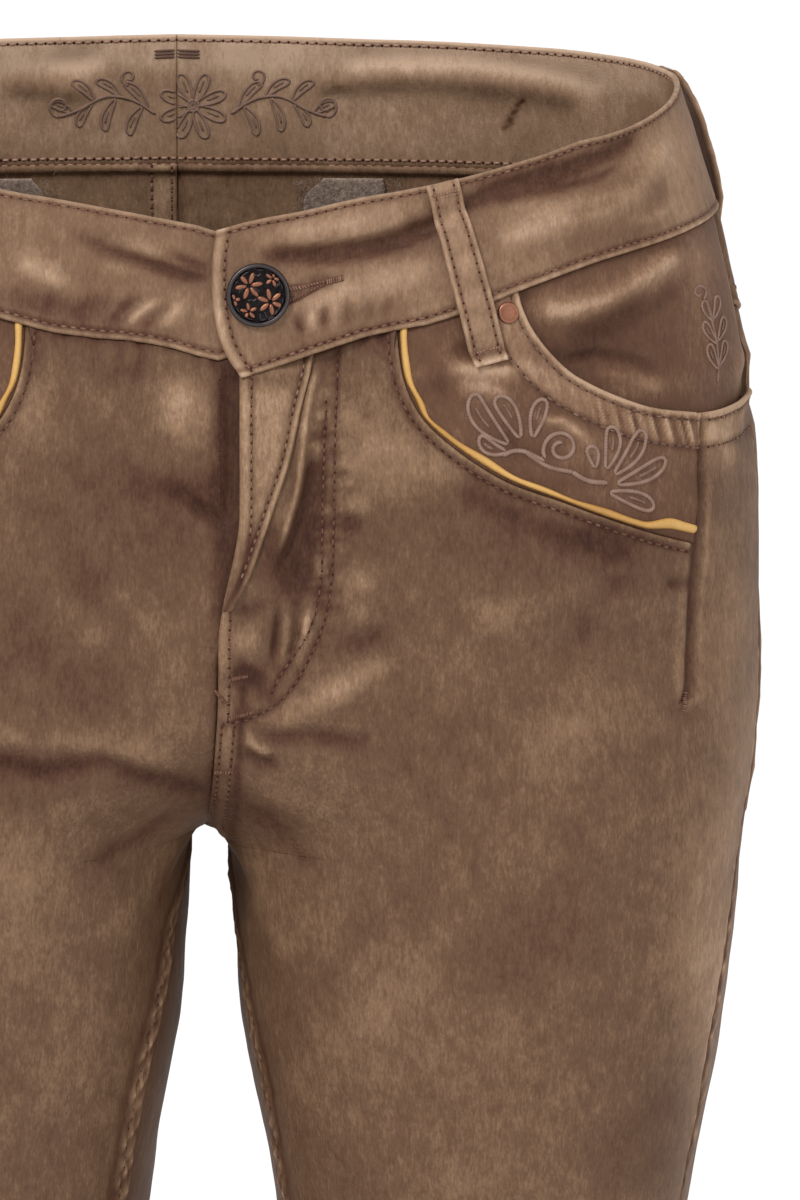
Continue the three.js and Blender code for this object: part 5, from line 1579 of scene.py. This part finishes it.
# Embroidered lines: points, half width of the thread, and tone.
INSET_MOTIF = (
    leaf(103, -80.5, 170, 11, 6.4, -20) + leaf(104, -77.5, 143, 22, 9.5, -16)
    + leaf(108, -75.5, 112, 17, 8.0, 8) + leaf(112.5, -75.5, 80, 14, 7.0, -6)
    + [(scroll(122.5, -79.5, 6.4, 215, -1.4), 0.78, 0.4),
       ([(101.5, -81.8), (105.5, -80.2), (110, -80.5), (117, -84)], 0.85, 0.35),
       ([(110, -80.5), (118, -86.0), (127, -88.3)], 0.8, 0.3)]
    + leaf(134.5, -87, 96, 8, 5.0, 10, False) + leaf(138.5, -87.5, 70, 15, 7.2, 12)
    + leaf(141.5, -89.5, 42, 18, 7.6, 14) + leaf(142.5, -93.0, 14, 19, 7.4, 10)
    + leaf(140, -96.0, -14, 17, 7.0, -8)
    + [([(126, -88), (132, -91.5), (139, -92.5)], 0.9, 0.35)])
FACING_MOTIF = (
    leaf(181, -55, 122, 10, 3.6, -10, thread=0.46) + leaf(181, -54, 66, 9, 3.2, 12, thread=0.46)
    + leaf(180.2, -46, 128, 9.5, 3.6, -10, thread=0.46) + leaf(180.4, -45, 60, 8.5, 3.2, 12, thread=0.46)
    + leaf(179.2, -38, 120, 8.5, 3.2, -8, False, 0.46) + leaf(179.4, -37, 66, 8, 3.0, 12, False, 0.46)
    + [(scroll(174.5, -27, 3.0, -60, 1.1), 0.5, 0.3),
       ([(181.5, -60), (180.4, -50), (179, -40), (177, -30)], 0.55, 0.2)])


def piping(inset, side):
    """Leather piping let in along the front's folded edge, uneven in width as it is sewn."""
    t = np.linspace(0.02, 0.992, 150)
    dense = np.stack(FRONT_EDGE.at(t, side), -1)
    d = unit(np.gradient(dense, axis=0))
    inward = np.stack([-d[:, 1], d[:, 0]], -1)
    s = t * FRONT_EDGE.length
    half = 1.12 + 0.2 * np.sin(s / 9.0) + 0.13 * np.sin(s / 3.7 + 1)
    half += ridges(s, (-0.3, 46, 5), (0.35, 0, 10))
    half = half * ease(-2, 4, s) + 0.75 * ease(134, 143, s) + 0.45 * bump(s - 40, 4)
    lead = 1.0 + 0.35 * np.sin(s / 13.0 + 2) + 2.2 * ease(134, 146, s) + 0.8 * bump(s - 36, 5)
    middle = dense + inward * (lead + half)[:, None]
    shape = np.linspace(0, math.pi, 11)[:, None]
    x, z = (middle[:, k] - inward[:, k] * half * np.cos(shape) for k in (0, 1))
    flat, n = (v.reshape(x.shape + (3,)) for v in inset.on(x.ravel(), z.ravel()))
    rise = np.sin(shape)
    high = flat + n * (1.55 * rise * (1 + 0.1 * np.sin(s / 5)) - 0.15)[..., None]
    low = flat - n * 0.3
    # painted highlight along the piping's crest, and painted shade on its inner face
    tone = (0.55 * rise - 0.25 + 0.25 * np.sin(s / 11)).ravel()
    points = np.concatenate([high.reshape(-1, 3), low.reshape(-1, 3)])
    quads = lattice_quads(np.arange(x.size).reshape(x.shape), side)
    made = mesh_object("leather_piping_" + WORD[side], points, [shell(quads, x.size)], LEATHER,
                       np.concatenate([tone, tone - 0.4]))
    settle(made, ["piping_" + WORD[side]])


def pocket_facing(side):
    over_x, over_z = MOUTH.at(np.linspace(0.03, 1, 66), side)
    over_u = u_at_x(over_x, over_z)
    beside = np.linspace(0, 1, 15)[1:]
    u0 = np.concatenate([over_u, mix(over_u[-1], 1.0, beside)])
    mouth_z = np.concatenate([over_z, mix(over_z[-1], MOUTH_SIDE_Z, beside)])
    z = mix(mouth_z - 7.0, seam_z(u0, side) + UNDER_BAND, upward("pocket_facing"))
    x0 = form(u0, mouth_z)[:, 0]
    u = np.where(u0 > 0.999, 1.0, u_at_x(np.broadcast_to(x0, z.shape), z))
    last = u[:, -15:-14]
    u[:, -14:] = last + (1 - last) * beside
    piece = Piece(side, u, z)
    waist = seam_z(piece.u, side) - piece.z
    over, outseam = piece.from_low, piece.from_end
    high = -FACING_CLOTH + 2.0 * ease(10, 28, over) - TUCK * tucked(waist) - 0.8 * bump(outseam, 1.3)
    # painted shadow under the pocket's mouth and under the band
    tone = fold_shading_and_wear(piece) + front_shading_and_dye(piece.base) - 0.55 * fade(over, 12)
    tone += 0.4 * bump(outseam - 2.5, 2.0) - 0.3 * fade(waist, 4.0)
    piece.build("pocket_facing_" + WORD[side], EMBROIDERED, high - FACING_CLOTH, high, tone, "embroidered")
    cut(piece, "pocket_facing", "hung", "waistband_" + WORD[side])
    threads = Threads()
    for points, width, tone in FACING_MOTIF:
        threads.rope(piece.line(points, lift=0.12), width, width * 0.8, tone)
    threads.build("embroidery_pocket_facing_" + WORD[side], EMBROIDERY, "embroidered")


# ---------------------------------------------------------------- fly
def fly_wedge():
    part = upward("fly_wedge")
    ridge_x, ridge_z = WEDGE_RIDGE.at(1 - part)
    seam = seam_z(u_at_x(ridge_x, ridge_z), 1) + UNDER_BAND
    ridge_z = np.where(part > 0.97, np.minimum(ridge_z + 8 * (part - 0.97) / 0.03, seam), ridge_z)
    x = mix(fly_edge_x(ridge_z, 1) - 0.2, ridge_x, shares(WEDGE_WIDTH, COLUMNS["fly_wedge"])[None])
    z = ridge_z + 0 * x
    z = np.where(part > 0.93, mix(z, seam_z(u_at_x(x, z), 1) + UNDER_BAND, (part - 0.93) / 0.07), z)
    piece = Piece(1, u_at_x(x, z), z)
    x, z, edge, ridge = piece.x, piece.z, piece.from_start, piece.from_end
    width = edge + ridge
    waist = seam_z(piece.u, 1) - z
    lift = front_lift(x, z, 1)
    dome = np.sin(math.pi * np.clip(edge / width, 0, 1)) * ease(3, 16, width)
    crease = z + 57 - 0.1 * x
    high = CLOTH + lift + 1.3 + 1.5 * dome * ease(-42, -60, z) + 0.5 * bump(ridge - 0.9, 1.0)
    high -= 0.6 * bump(ridge - WEDGE_ROWS["end"][0], 0.8) * ease(4, 8, width) + 0.7 * bump(crease, 2.2) * dome
    high -= 0.5 * bump(edge - WEDGE_ROWS["start"][0], 0.8) * ease(7, 11, width) + 1.9 * tucked(waist)
    # painted highlight on the wedge's raised dome, with the folds' painted light and shade
    tone = fold_shading_and_wear(piece) + 0.35 * dome * ease(-118, -96, z) + 0.25
    tone += ridges(ridge, (0.45, 0.8, 1.1), (-0.5, 3.0, 1.1))
    tone += ridges(edge, (0.35, 1.8, 2.0), (-0.45, 4.4, 1.0))
    # painted shade in the crease, under the band, and down the middle of the wedge's lower part
    tone -= 0.4 * bump(crease, 3.0) * dome + 0.5 * fade(waist, 2.5)
    tone -= 0.75 * ease(-98, -122, z) * bump(edge - width / 2, 4)
    piece.build("fly_wedge", SATEEN, CLOTH + lift + 0.15, high, tone, "band")
    cut(piece, "fly_wedge", "laid", "front_left")
    threads = Threads()
    for edge_name, (distance, above_tip) in WEDGE_ROWS.items():
        threads.stitches(piece.trace(edge_name, distance, (above_tip, 4)), 3.2)
    threads.build("stitching_fly_wedge", THREAD, "band")


def zip_parts():
    x = np.array([-8, -6, -3, 0, 3, 6, 9, 12, 14, 15.5, 17, 19, 22, 25, 27.0])
    z = np.linspace(ZIP["low"], ZIP["top"] + 6, 30)[:, None]
    piece = Piece(1, u_at_x(x + 0 * z, z), z + 0 * x)
    sunk = ease(7, 11, piece.x) * (1 - ease(20, 25, piece.x))
    high = -0.75 - 2.2 * sunk
    piece.build("zip_tape", TAPE, high - ZIP["cloth"], high, 0.0, "tape")
    cut(piece, "zip_tape", "laid", "front_right")
    teeth = Threads()
    for k, level in enumerate(np.arange(ZIP["low"] + 4, ZIP["top"] - 4, ZIP["pitch"])):
        shift = 0.9 if k % 2 else -0.9
        points = ZIP["teeth_x"] + shift + np.array([-1.4, -0.6, 0.6, 1.4])
        p, n = piece.on(points, np.full(4, level), lift=0.5)
        size = np.array([[0.35, 0.6, 0.6, 0.35]])
        teeth.sweep(p[None], unit(np.gradient(p, axis=0))[None], n[None], size, size, 0 * size)
    teeth.build("zip_teeth", GUNMETAL, "gunmetal")
    slider(piece)


def slider(tape):
    """Slider: a waisted body with a bridge and a pull folded down on it."""
    outline = np.array([(-3.6, 9), (-3.7, 4), (-2.3, 0), (-2.0, -4), (2.0, -4), (2.3, 0), (3.7, 4), (3.6, 9)])
    bridge = np.array([(-1.1, 8), (-1.1, 1), (1.1, 1), (1.1, 8)])
    pull = np.array([(-1.7, 6.5), (-2.3, -6), (-1.6, -9), (1.6, -9), (2.3, -6), (1.7, 6.5)])
    points, quads, tris, count = [], [], [], 0
    for shape, low, high in ((outline, 0.2, 1.3), (bridge, 1.3, 1.9), (pull, 1.95, 2.5)):
        for inset, level in ((0.25, low), (0, low + 0.2), (0, high - 0.25), (0.35, high)):
            ring = shape * (1 - inset / np.linalg.norm(shape, axis=1, keepdims=True).clip(1))
            p, n = tape.on(ZIP["teeth_x"] + ring[:, 0], ring[:, 1] + ZIP["slider"])
            points.append(p + n * level)
        k = len(shape)
        first, after = np.arange(k), (np.arange(k) + 1) % k
        for r in range(3):
            a, b = count + r * k + first, count + r * k + after
            quads.append(np.stack([b, a, a + k, b + k], -1))
        points += [points[-4].mean(0)[None], points[-1].mean(0)[None]]
        middle, top = count + 4 * k, count + 3 * k
        tris.append(np.stack([np.full(k, middle), count + first, count + after], -1))
        tris.append(np.stack([np.full(k, middle + 1), top + after, top + first], -1))
        count += 4 * k + 2
    made = mesh_object("zip_slider_body", np.concatenate(points),
                       [np.concatenate(quads), np.concatenate(tris)], GUNMETAL, np.zeros(count), False)
    settle(made, ["zip_slider"])


# ---------------------------------------------------------------- belt loops
def belt_loop(node, top_angle, low_angle, top_rise, low_z, bow, side):
    """A loop over the band, leaning from low_angle to top_angle and standing out by bow."""
    t = upward("belt_loop")
    s = (shares(LOOP_WIDTH, COLUMNS["belt_loop"]) - 0.5)[None] * LOOP_WIDTH
    z = mix(low_z, band_top_z(at_angle(top_angle), side) + top_rise, t)
    middle = at_angle(mix(low_angle, top_angle, t))
    per_step = np.linalg.norm(form(middle + 0.01, z) - form(middle - 0.01, z), axis=-1) / 0.02
    across = s * (1 + 0.04 * np.sin(5 * t))
    tilt = (top_angle - low_angle) * (0.055 if bow < 2 else 0.02)
    piece = Piece(side, middle + across / per_step, z - across * tilt)
    seam = seam_z(middle, side)
    seat = mix(CLOTH + 0.5, BAND_CLOTH + 0.7, ease(seam - 9, seam - 1, z))
    over = seat + bow * np.sin(math.pi * np.clip(t, 0, 1)) ** 0.6
    edge, low_end, top_end = piece.edges("start", "end"), piece.from_low, piece.from_top
    high = over + LOOP_CLOTH + ridges(edge, (0.35, 0.8, 0.9), (-0.35, 2.2, 0.7))
    high += 0.9 * bump(low_end - 0.8, 1.6) - 0.3 * bump(top_end - 4.5, 1.2) + 0.2 * ripple(low_end, 9, side)
    tone = 0.30 + ridges(edge, (0.22, 0.6, 0.9), (-0.35, 2.3, 0.8)) + 0.15 * ripple(low_end, 13, 2)
    tone += ridges(low_end, (0.6, 0.8, 1.6), (-0.55, 4.0, 1.4)) - 0.3 * bump(top_end - 5, 1.6)
    piece.build(node, BAND, over, high, tone, "band")
    cut(piece, "belt_loop", "stretched", "waistband_" + WORD[side])
    threads = Threads()
    for edge_name in ("start", "end"):
        threads.stitches(piece.trace(edge_name, LOOP_ROW, (3.2, 2.4)), 3.2, 2.3, 0.38)
    points, out = piece.trace("top", 4.2, (1.2, 1.2))
    for shift in (0.0, 1.2):
        threads.stitches((points - np.array([0, 0, shift]), out), 1.1, 1.3, 0.36, 0.3, hole_shade=False)
    threads.stitches(piece.trace("low", 5.0, (1.4, 1.4)), 1.1, 1.3, 0.36, 0.2, hole_shade=False)
    threads.build("stitching_" + node, THREAD, "band")


# ---------------------------------------------------------------- backing and inner border
FIBRES = 1500


def backing(side):
    """Torn non-woven backing inside the yoke, with its loose fibres."""
    t = upward("embroidery_backing")
    z = mix(BACKING["low"], BACKING["top"] + 1, t)
    bulge = BACKING["half"] * (0.5 + 0.5 * np.sin(math.pi * np.clip(t, 0.02, 0.98)) ** 0.7)
    inner_half = bulge * (0.95 - 0.35 * t + 0.08 * np.sin(8 * t + side) + 0.05 * np.sin(21 * t + 2))
    outer_half = bulge * (1.04 + 0.09 * np.sin(11 * t + 2 * side) + 0.05 * np.sin(27 * t))
    part = shares(2 * BACKING["half"] - 2, COLUMNS["embroidery_backing"])[None]
    x = BACKING["x"] + mix(outer_half, -inner_half, part) + 1.2 * np.sin(6 * t)
    piece = Piece(side, u_at_x(x, z, 1.0, 2.0), z + 0 * x)
    rough = 0.25 * ripple(piece.x, 3.1) * ripple(piece.z, 2.7, 1)
    piece.build("embroidery_backing_" + WORD[side], FLEECE, -2.1 + rough, -0.75, 0.0, "backing")
    cut(piece, "embroidery_backing", "laid", "yoke_" + WORD[side])
    fx = BACKING["x"] + BACKING["half"] * rng.uniform(-0.85, 0.95, FIBRES)
    fz = rng.uniform(BACKING["low"] + 3, BACKING["top"] + 1, FIBRES)
    p, n = piece.on(fx, fz, inside=True, back=True)
    way = rng.standard_normal((FIBRES, 3))
    way += n * (0.6 - (way * n).sum(1, keepdims=True) * 0.7)
    way /= np.linalg.norm(way, axis=1, keepdims=True)
    bend = rng.standard_normal((FIBRES, 3)) * 0.5
    reach = rng.uniform(1.5, 4.2, FIBRES)[:, None, None] * np.array([0, 0.5, 1.0])[:, None]
    centres = p[:, None] + way[:, None] * reach + bend[:, None] * (reach / 3) ** 2
    ones = np.ones((FIBRES, 3, 1))
    size = np.full((FIBRES, 3), 0.07) * np.array([1, 0.8, 0.4])
    fuzz = Threads()
    fuzz.sweep(centres, way[:, None] * ones, n[:, None] * ones, size, size, np.full((FIBRES, 3), 0.2), 3)
    fuzz.build("fleece_fibres_" + WORD[side], FLEECE, "backing")


def inner_border(left, right):
    """A border of flowers and leaves in plain thread, inside the back of the band."""
    threads = Threads()

    def draw(points, width, tone):
        # x counts from centre back to the wearer's left
        pts = Line(points).dense(step=0.8)
        for piece, keep in ((left, pts[:, 0] >= 0), (right, pts[:, 0] < 0)):
            index = np.flatnonzero(keep)
            for run in np.split(index, np.flatnonzero(np.diff(index) > 1) + 1):
                if len(run) < 3:
                    continue
                line = piece.on(np.abs(pts[run, 0]), pts[run, 1], inside=True, back=True, lift=0.15)
                threads.rope(line, width, width * 0.75, tone)

    middle, level = BORDER
    for petal in range(8):
        draw(teardrop(middle, level, 22 + petal * 45, 13, 5.6), 0.55, 0.3)
        draw(vein(middle, level, 22 + petal * 45, 13), 0.4, 0.15)
    draw(scroll(middle, level, 2.2, 0, 1.0, 0.1), 0.6, 0.45)
    for way in (1, -1):
        stem = ((14, -3), (23, 2.5), (33, 3.5), (43, -1.5), (50, -4))
        draw([(middle + way * dx, level + dz) for dx, dz in stem], 0.65, 0.25)
        for dx, dz, angle, length in ((17, -1, 62, 13), (19, 0, -52, 12), (27, 3.5, 48, 11), (29, 3, -58, 13),
                                      (37, 2, 56, 11), (38, 1, -46, 10), (45, -3, 40, 9)):
            root = (middle + way * dx, level + dz, angle if way > 0 else 180 - angle, length)
            draw(teardrop(*root, 4.4, -way * 14), 0.5, 0.25)
            draw(vein(*root, -way * 14), 0.38, 0.15)
        draw(scroll(middle + way * 50, level, 4.2, 270, way * 1.2), 0.55, 0.3)
        draw(scroll(middle + way * 24, level + 11, 3.2, 270, way * 1.1), 0.5, 0.28)
    # A bar of three threads over centre back, just below the band's top.
    for bar_z in (52.6, 51.4, 50.2):
        draw([(-8.5, bar_z), (0, bar_z + 0.3), (8.5, bar_z)], 0.5, -0.2)
    threads.build("embroidery_waistband_inside", EMBROIDERY, "band")


# ---------------------------------------------------------------- button and rivets
def seat_frame(x, z, height, side):
    """Middle and axes of a round trim: across, up and out of the cloth."""
    u = u_at_x(x, z)
    p, n = form(u, z) * [side, 1, 1], normals(u, np.asarray(z, float)) * [side, 1, 1]
    across = unit(np.cross([0, 0, 1.0], n))
    return p + n * height, across, np.cross(n, across), n


def turned(profile, seat, segments):
    """A lathe part on a seat: rings of points by (radius, height), and their faces."""
    centre, across, up, out = seat
    profile = np.array(profile, float)
    a = np.linspace(0, 2 * math.pi, segments, endpoint=False)
    rings = (centre + across * (np.cos(a)[:, None] * profile[:, None, :1])
             + up * (np.sin(a)[:, None] * profile[:, None, :1]) + out * profile[:, None, 1:])
    k = np.arange(segments)
    after = (k + 1) % segments
    quads = [r * segments + np.stack([k, after, segments + after, segments + k], -1)
             for r in range(len(profile) - 1)]
    fan = np.stack([0 * k[2:], k[1:-1], k[2:]], -1)
    ends = [fan[:, ::-1], (len(profile) - 1) * segments + fan]
    return rings.reshape(-1, 3), [np.concatenate(quads), np.concatenate(ends)]


def round_trim(name, profile, tones, seat, segments, material, node):
    """A lathe part that stands for a CAD node, with a tone for each ring."""
    points, faces = turned(profile, seat, segments)
    made = mesh_object(name, points, faces, material, np.repeat(np.array(tones, float), segments))
    settle(made, [node])


PETAL_REACH = 8.9                # petals and leaves stay inside the button's rim


def petal(cx, cz, angle, length):
    """A petal's line, kept inside the rim."""
    a = math.radians(angle)
    line = [(cx + k * length * math.cos(a), cz + k * length * math.sin(a))
            for k in (0.18, 0.4, 0.62, 0.82, 1.0)]
    scale = [min(1.0, PETAL_REACH / max(math.hypot(*q), 0.1)) for q in line]
    return [(q[0] * k, q[1] * k) for q, k in zip(line, scale)]


def button():
    """Shank button with a raised rim, small copper flowers, and leaves in its own metal."""
    under = BAND_LIFT + BAND_CLOTH + 1.0
    seat = seat_frame(BUTTON["x"], BUTTON["z"], 0.0, 1)
    r = BUTTON["radius"]
    face = [(3.2, 0), (r - 1.2, 0), (r - 0.3, 0.3), (r, 0.9), (r, 1.5), (r - 0.3, 2.0), (r - 0.8, 2.3),
            (r - 1.3, 2.2), (r - 1.7, 1.7), (r - 2.0, 1.45), (6, 1.6), (3, 1.65), (0.3, 1.7)]
    round_trim("button_face", [(2.6, 2.6), (3.2, 2.6)] + [(q, under + h) for q, h in face],
               [0, 0, 0, -0.4, 0, 0.2, 0.3, 0.5, 0.6, 0.2, -0.6, -0.7, -0.6, -0.6, -0.6],
               seat, 64, GUNMETAL, "button")
    centre, across, up, out = seat

    def relief_part(shapes, name, material, slot, height):
        threads = Threads()
        for pts, width in shapes:
            pts = np.array(pts, float)
            p = centre + across * pts[:, :1] + up * pts[:, 1:] + out * (under + 1.6)
            s = np.linspace(0, 1, len(pts))
            size = width * np.sqrt(np.clip(np.sin(math.pi * (0.08 + 0.84 * s)), 0, 1))
            t = unit(np.gradient(p, axis=0))
            threads.sweep(p[None], t[None], np.broadcast_to(out, p.shape)[None], size[None],
                          np.full((1, len(pts)), height), np.full((1, len(pts)), 0.1), 8)
        threads.build(name, material, slot)

    flowers, leaves = [], []
    for cx, cz, size, turn, petals in ((-3.3, 3.4, 4.9, 10, 6), (4.3, -2.4, 4.7, 40, 6),
                                       (-3.4, -5.8, 3.0, 25, 5), (5.2, 5.8, 2.8, 0, 5),
                                       (-8.4, -1.8, 2.0, 15, 4)):
        for k in range(petals):
            flowers.append((petal(cx, cz, turn + 360 / petals * k, size), 0.95 if size > 4 else 0.72))
    for cx, cz, angle, length in ((0.4, 0.4, 130, 3.2), (1.4, -5.6, 280, 3.2), (-6.6, 0.2, 75, 3.2),
                                  (1.0, 7.6, 200, 2.6), (6.4, 2.4, 60, 2.8), (-0.4, -1.2, 200, 2.8),
                                  (5.8, -6.0, 20, 2.6), (-5.6, 6.6, 60, 2.4)):
        for shift in (-0.7, 0.7):
            leaves.append((petal(cx + shift, cz + 0.4 * shift, angle + 14 * shift, length), 0.42))
    for k in range(11):
        a = math.radians(20 + 360 / 11 * k)
        dash = [(9.0 * math.cos(a + d), 9.0 * math.sin(a + d)) for d in (-0.12, -0.06, 0, 0.06, 0.12)]
        leaves.append((dash, 0.36))
    relief_part(flowers, "button_flowers", COPPER, "copper", 0.5)
    relief_part(leaves, "button_leaves", GUNMETAL, "gunmetal", 0.45)


def rivet(side):
    x = RIVET["x"] + float(further_out(RIVET["x"], side))
    r = RIVET["radius"]
    profile = [(r - 0.3, -0.2), (r, 0.2), (r, 0.6), (r - 0.25, 0.95), (r - 0.7, 1.15), (r - 1.2, 1.1),
               (r * 0.45, 1.3), (0.2, 1.38)]
    round_trim("rivet_head_" + WORD[side], profile, [-0.6, -0.3, 0, 0.3, 0.3, -0.1, 0.2, 0.2],
               seat_frame(x, RIVET["z"], CLOTH + 0.4, side), 40, COPPER, "rivet_" + WORD[side])


# ---------------------------------------------------------------- all the pieces
FRONT_LOOP = {1: (22.9, 27.1), -1: (24.4, 28.6)}     # degrees at the loop's top and at its foot
SIDE_LOOP = (101.0, 106.0)
SIDE_LOOP_BOW = {1: 8.0, -1: 5.5}                    # how far the side loops stand out

bands = {}
for SIDE in WORD:
    front_panel(SIDE)
    back_panel(SIDE)
    yoke(SIDE)
    back_pocket(SIDE)
    bands[SIDE] = waistband(SIDE)
    pocket_facing(SIDE)
    pocket_inset(SIDE)
    backing(SIDE)
    rivet(SIDE)
    belt_loop("belt_loop_front_" + WORD[SIDE], *FRONT_LOOP[SIDE], 0.0, -49.0, 0.9, SIDE)
    belt_loop("belt_loop_side_" + WORD[SIDE], *SIDE_LOOP, -1.0, -17.0, SIDE_LOOP_BOW[SIDE], SIDE)
belt_loop("belt_loop_back", 180.0, 180.0, -0.8, -8.0, 2.2, 1)
fly_wedge()
zip_parts()
button()
inner_border(bands[1], bands[-1])


# ---------------------------------------------------------------- floor, light and camera
FLOOR_SIZE = 60000.0
FLOOR_GAP = 8.0                  # the jeans hang just clear of the floor


def floor():
    s = Shader("pale_floor", Roughness=0.9)
    s.colour(s.noise(900, 2), (0.3, (244, 244, 244)), (0.7, (246, 246, 246)))
    corners = np.array([(-1, -1, 0), (1, -1, 0), (1, 1, 0), (-1, 1, 0)]) * FLOOR_SIZE
    made = mesh_object("floor", corners + [0, 0, HEM_Z - FLOOR_GAP], [np.array([[0, 1, 2, 3]])], s.material)


def sun(name, energy, azimuth, elevation, spread):
    """A soft sun from an azimuth to the right of the camera's side, and an elevation."""
    light = bpy.data.lights.new(name, "SUN")
    light.energy, light.angle = energy, math.radians(spread)
    made = bpy.data.objects.new(name, light)
    a, e = math.radians(azimuth), math.radians(elevation)
    towards = Vector((math.sin(a) * math.cos(e), -math.cos(a) * math.cos(e), math.sin(e)))
    made.rotation_mode = "QUATERNION"
    made.rotation_quaternion = towards.to_track_quat("Z", "Y")
    bpy.context.scene.collection.objects.link(made)


def world(strength):
    made = bpy.data.worlds.new("studio")
    made.use_nodes = True
    background = made.node_tree.nodes["Background"]
    background.inputs["Color"].default_value = (1.0, 1.0, 1.0, 1.0)
    background.inputs["Strength"].default_value = strength
    bpy.context.scene.world = made


CAMERA_PITCH = 4.0               # degrees down
CAMERA_DISTANCE = 4000.0
CAMERA_WAIST = (0.0, -100.0, -3.5)    # top of the fly, from which the camera is placed
CAMERA_RIGHT = 65.0              # the view's middle lies so far to the right of it
CAMERA_DOWN = 129.3              # and so far below it
VIEW_HEIGHT = 428.6              # what the view takes in from top to bottom, VIEW_AT away
VIEW_AT = 4002.6
SENSOR = 36.0


def camera():
    """Nearly level with the waist, four metres in front: the photograph's close view."""
    pitch = math.radians(CAMERA_PITCH)
    ahead = np.array([0.0, math.cos(pitch), -math.sin(pitch)])
    upward = np.array([0.0, math.sin(pitch), math.cos(pitch)])
    waist = np.array(CAMERA_WAIST)
    place = waist - CAMERA_DISTANCE * ahead
    aim = waist + np.array([CAMERA_RIGHT, 0, 0]) - CAMERA_DOWN * upward
    data = bpy.data.cameras.new("camera")
    data.sensor_width = SENSOR
    data.lens = SENSOR * VIEW_AT / VIEW_HEIGHT
    data.clip_start, data.clip_end = 0.1, 200.0
    made = bpy.data.objects.new("camera", data)
    made.location = Vector(place * METRES)
    made.rotation_mode = "QUATERNION"
    made.rotation_quaternion = Vector(aim - place).to_track_quat("-Z", "Y")
    bpy.context.scene.collection.objects.link(made)
    bpy.context.scene.camera = made


floor()
world(0.62)
sun("key", 1.8, -32, 42, 16)
sun("fill", 0.5, 48, 18, 45)
sun("back", 0.5, 165, 40, 40)
camera()
bpy.context.scene.view_settings.view_transform = "Standard"
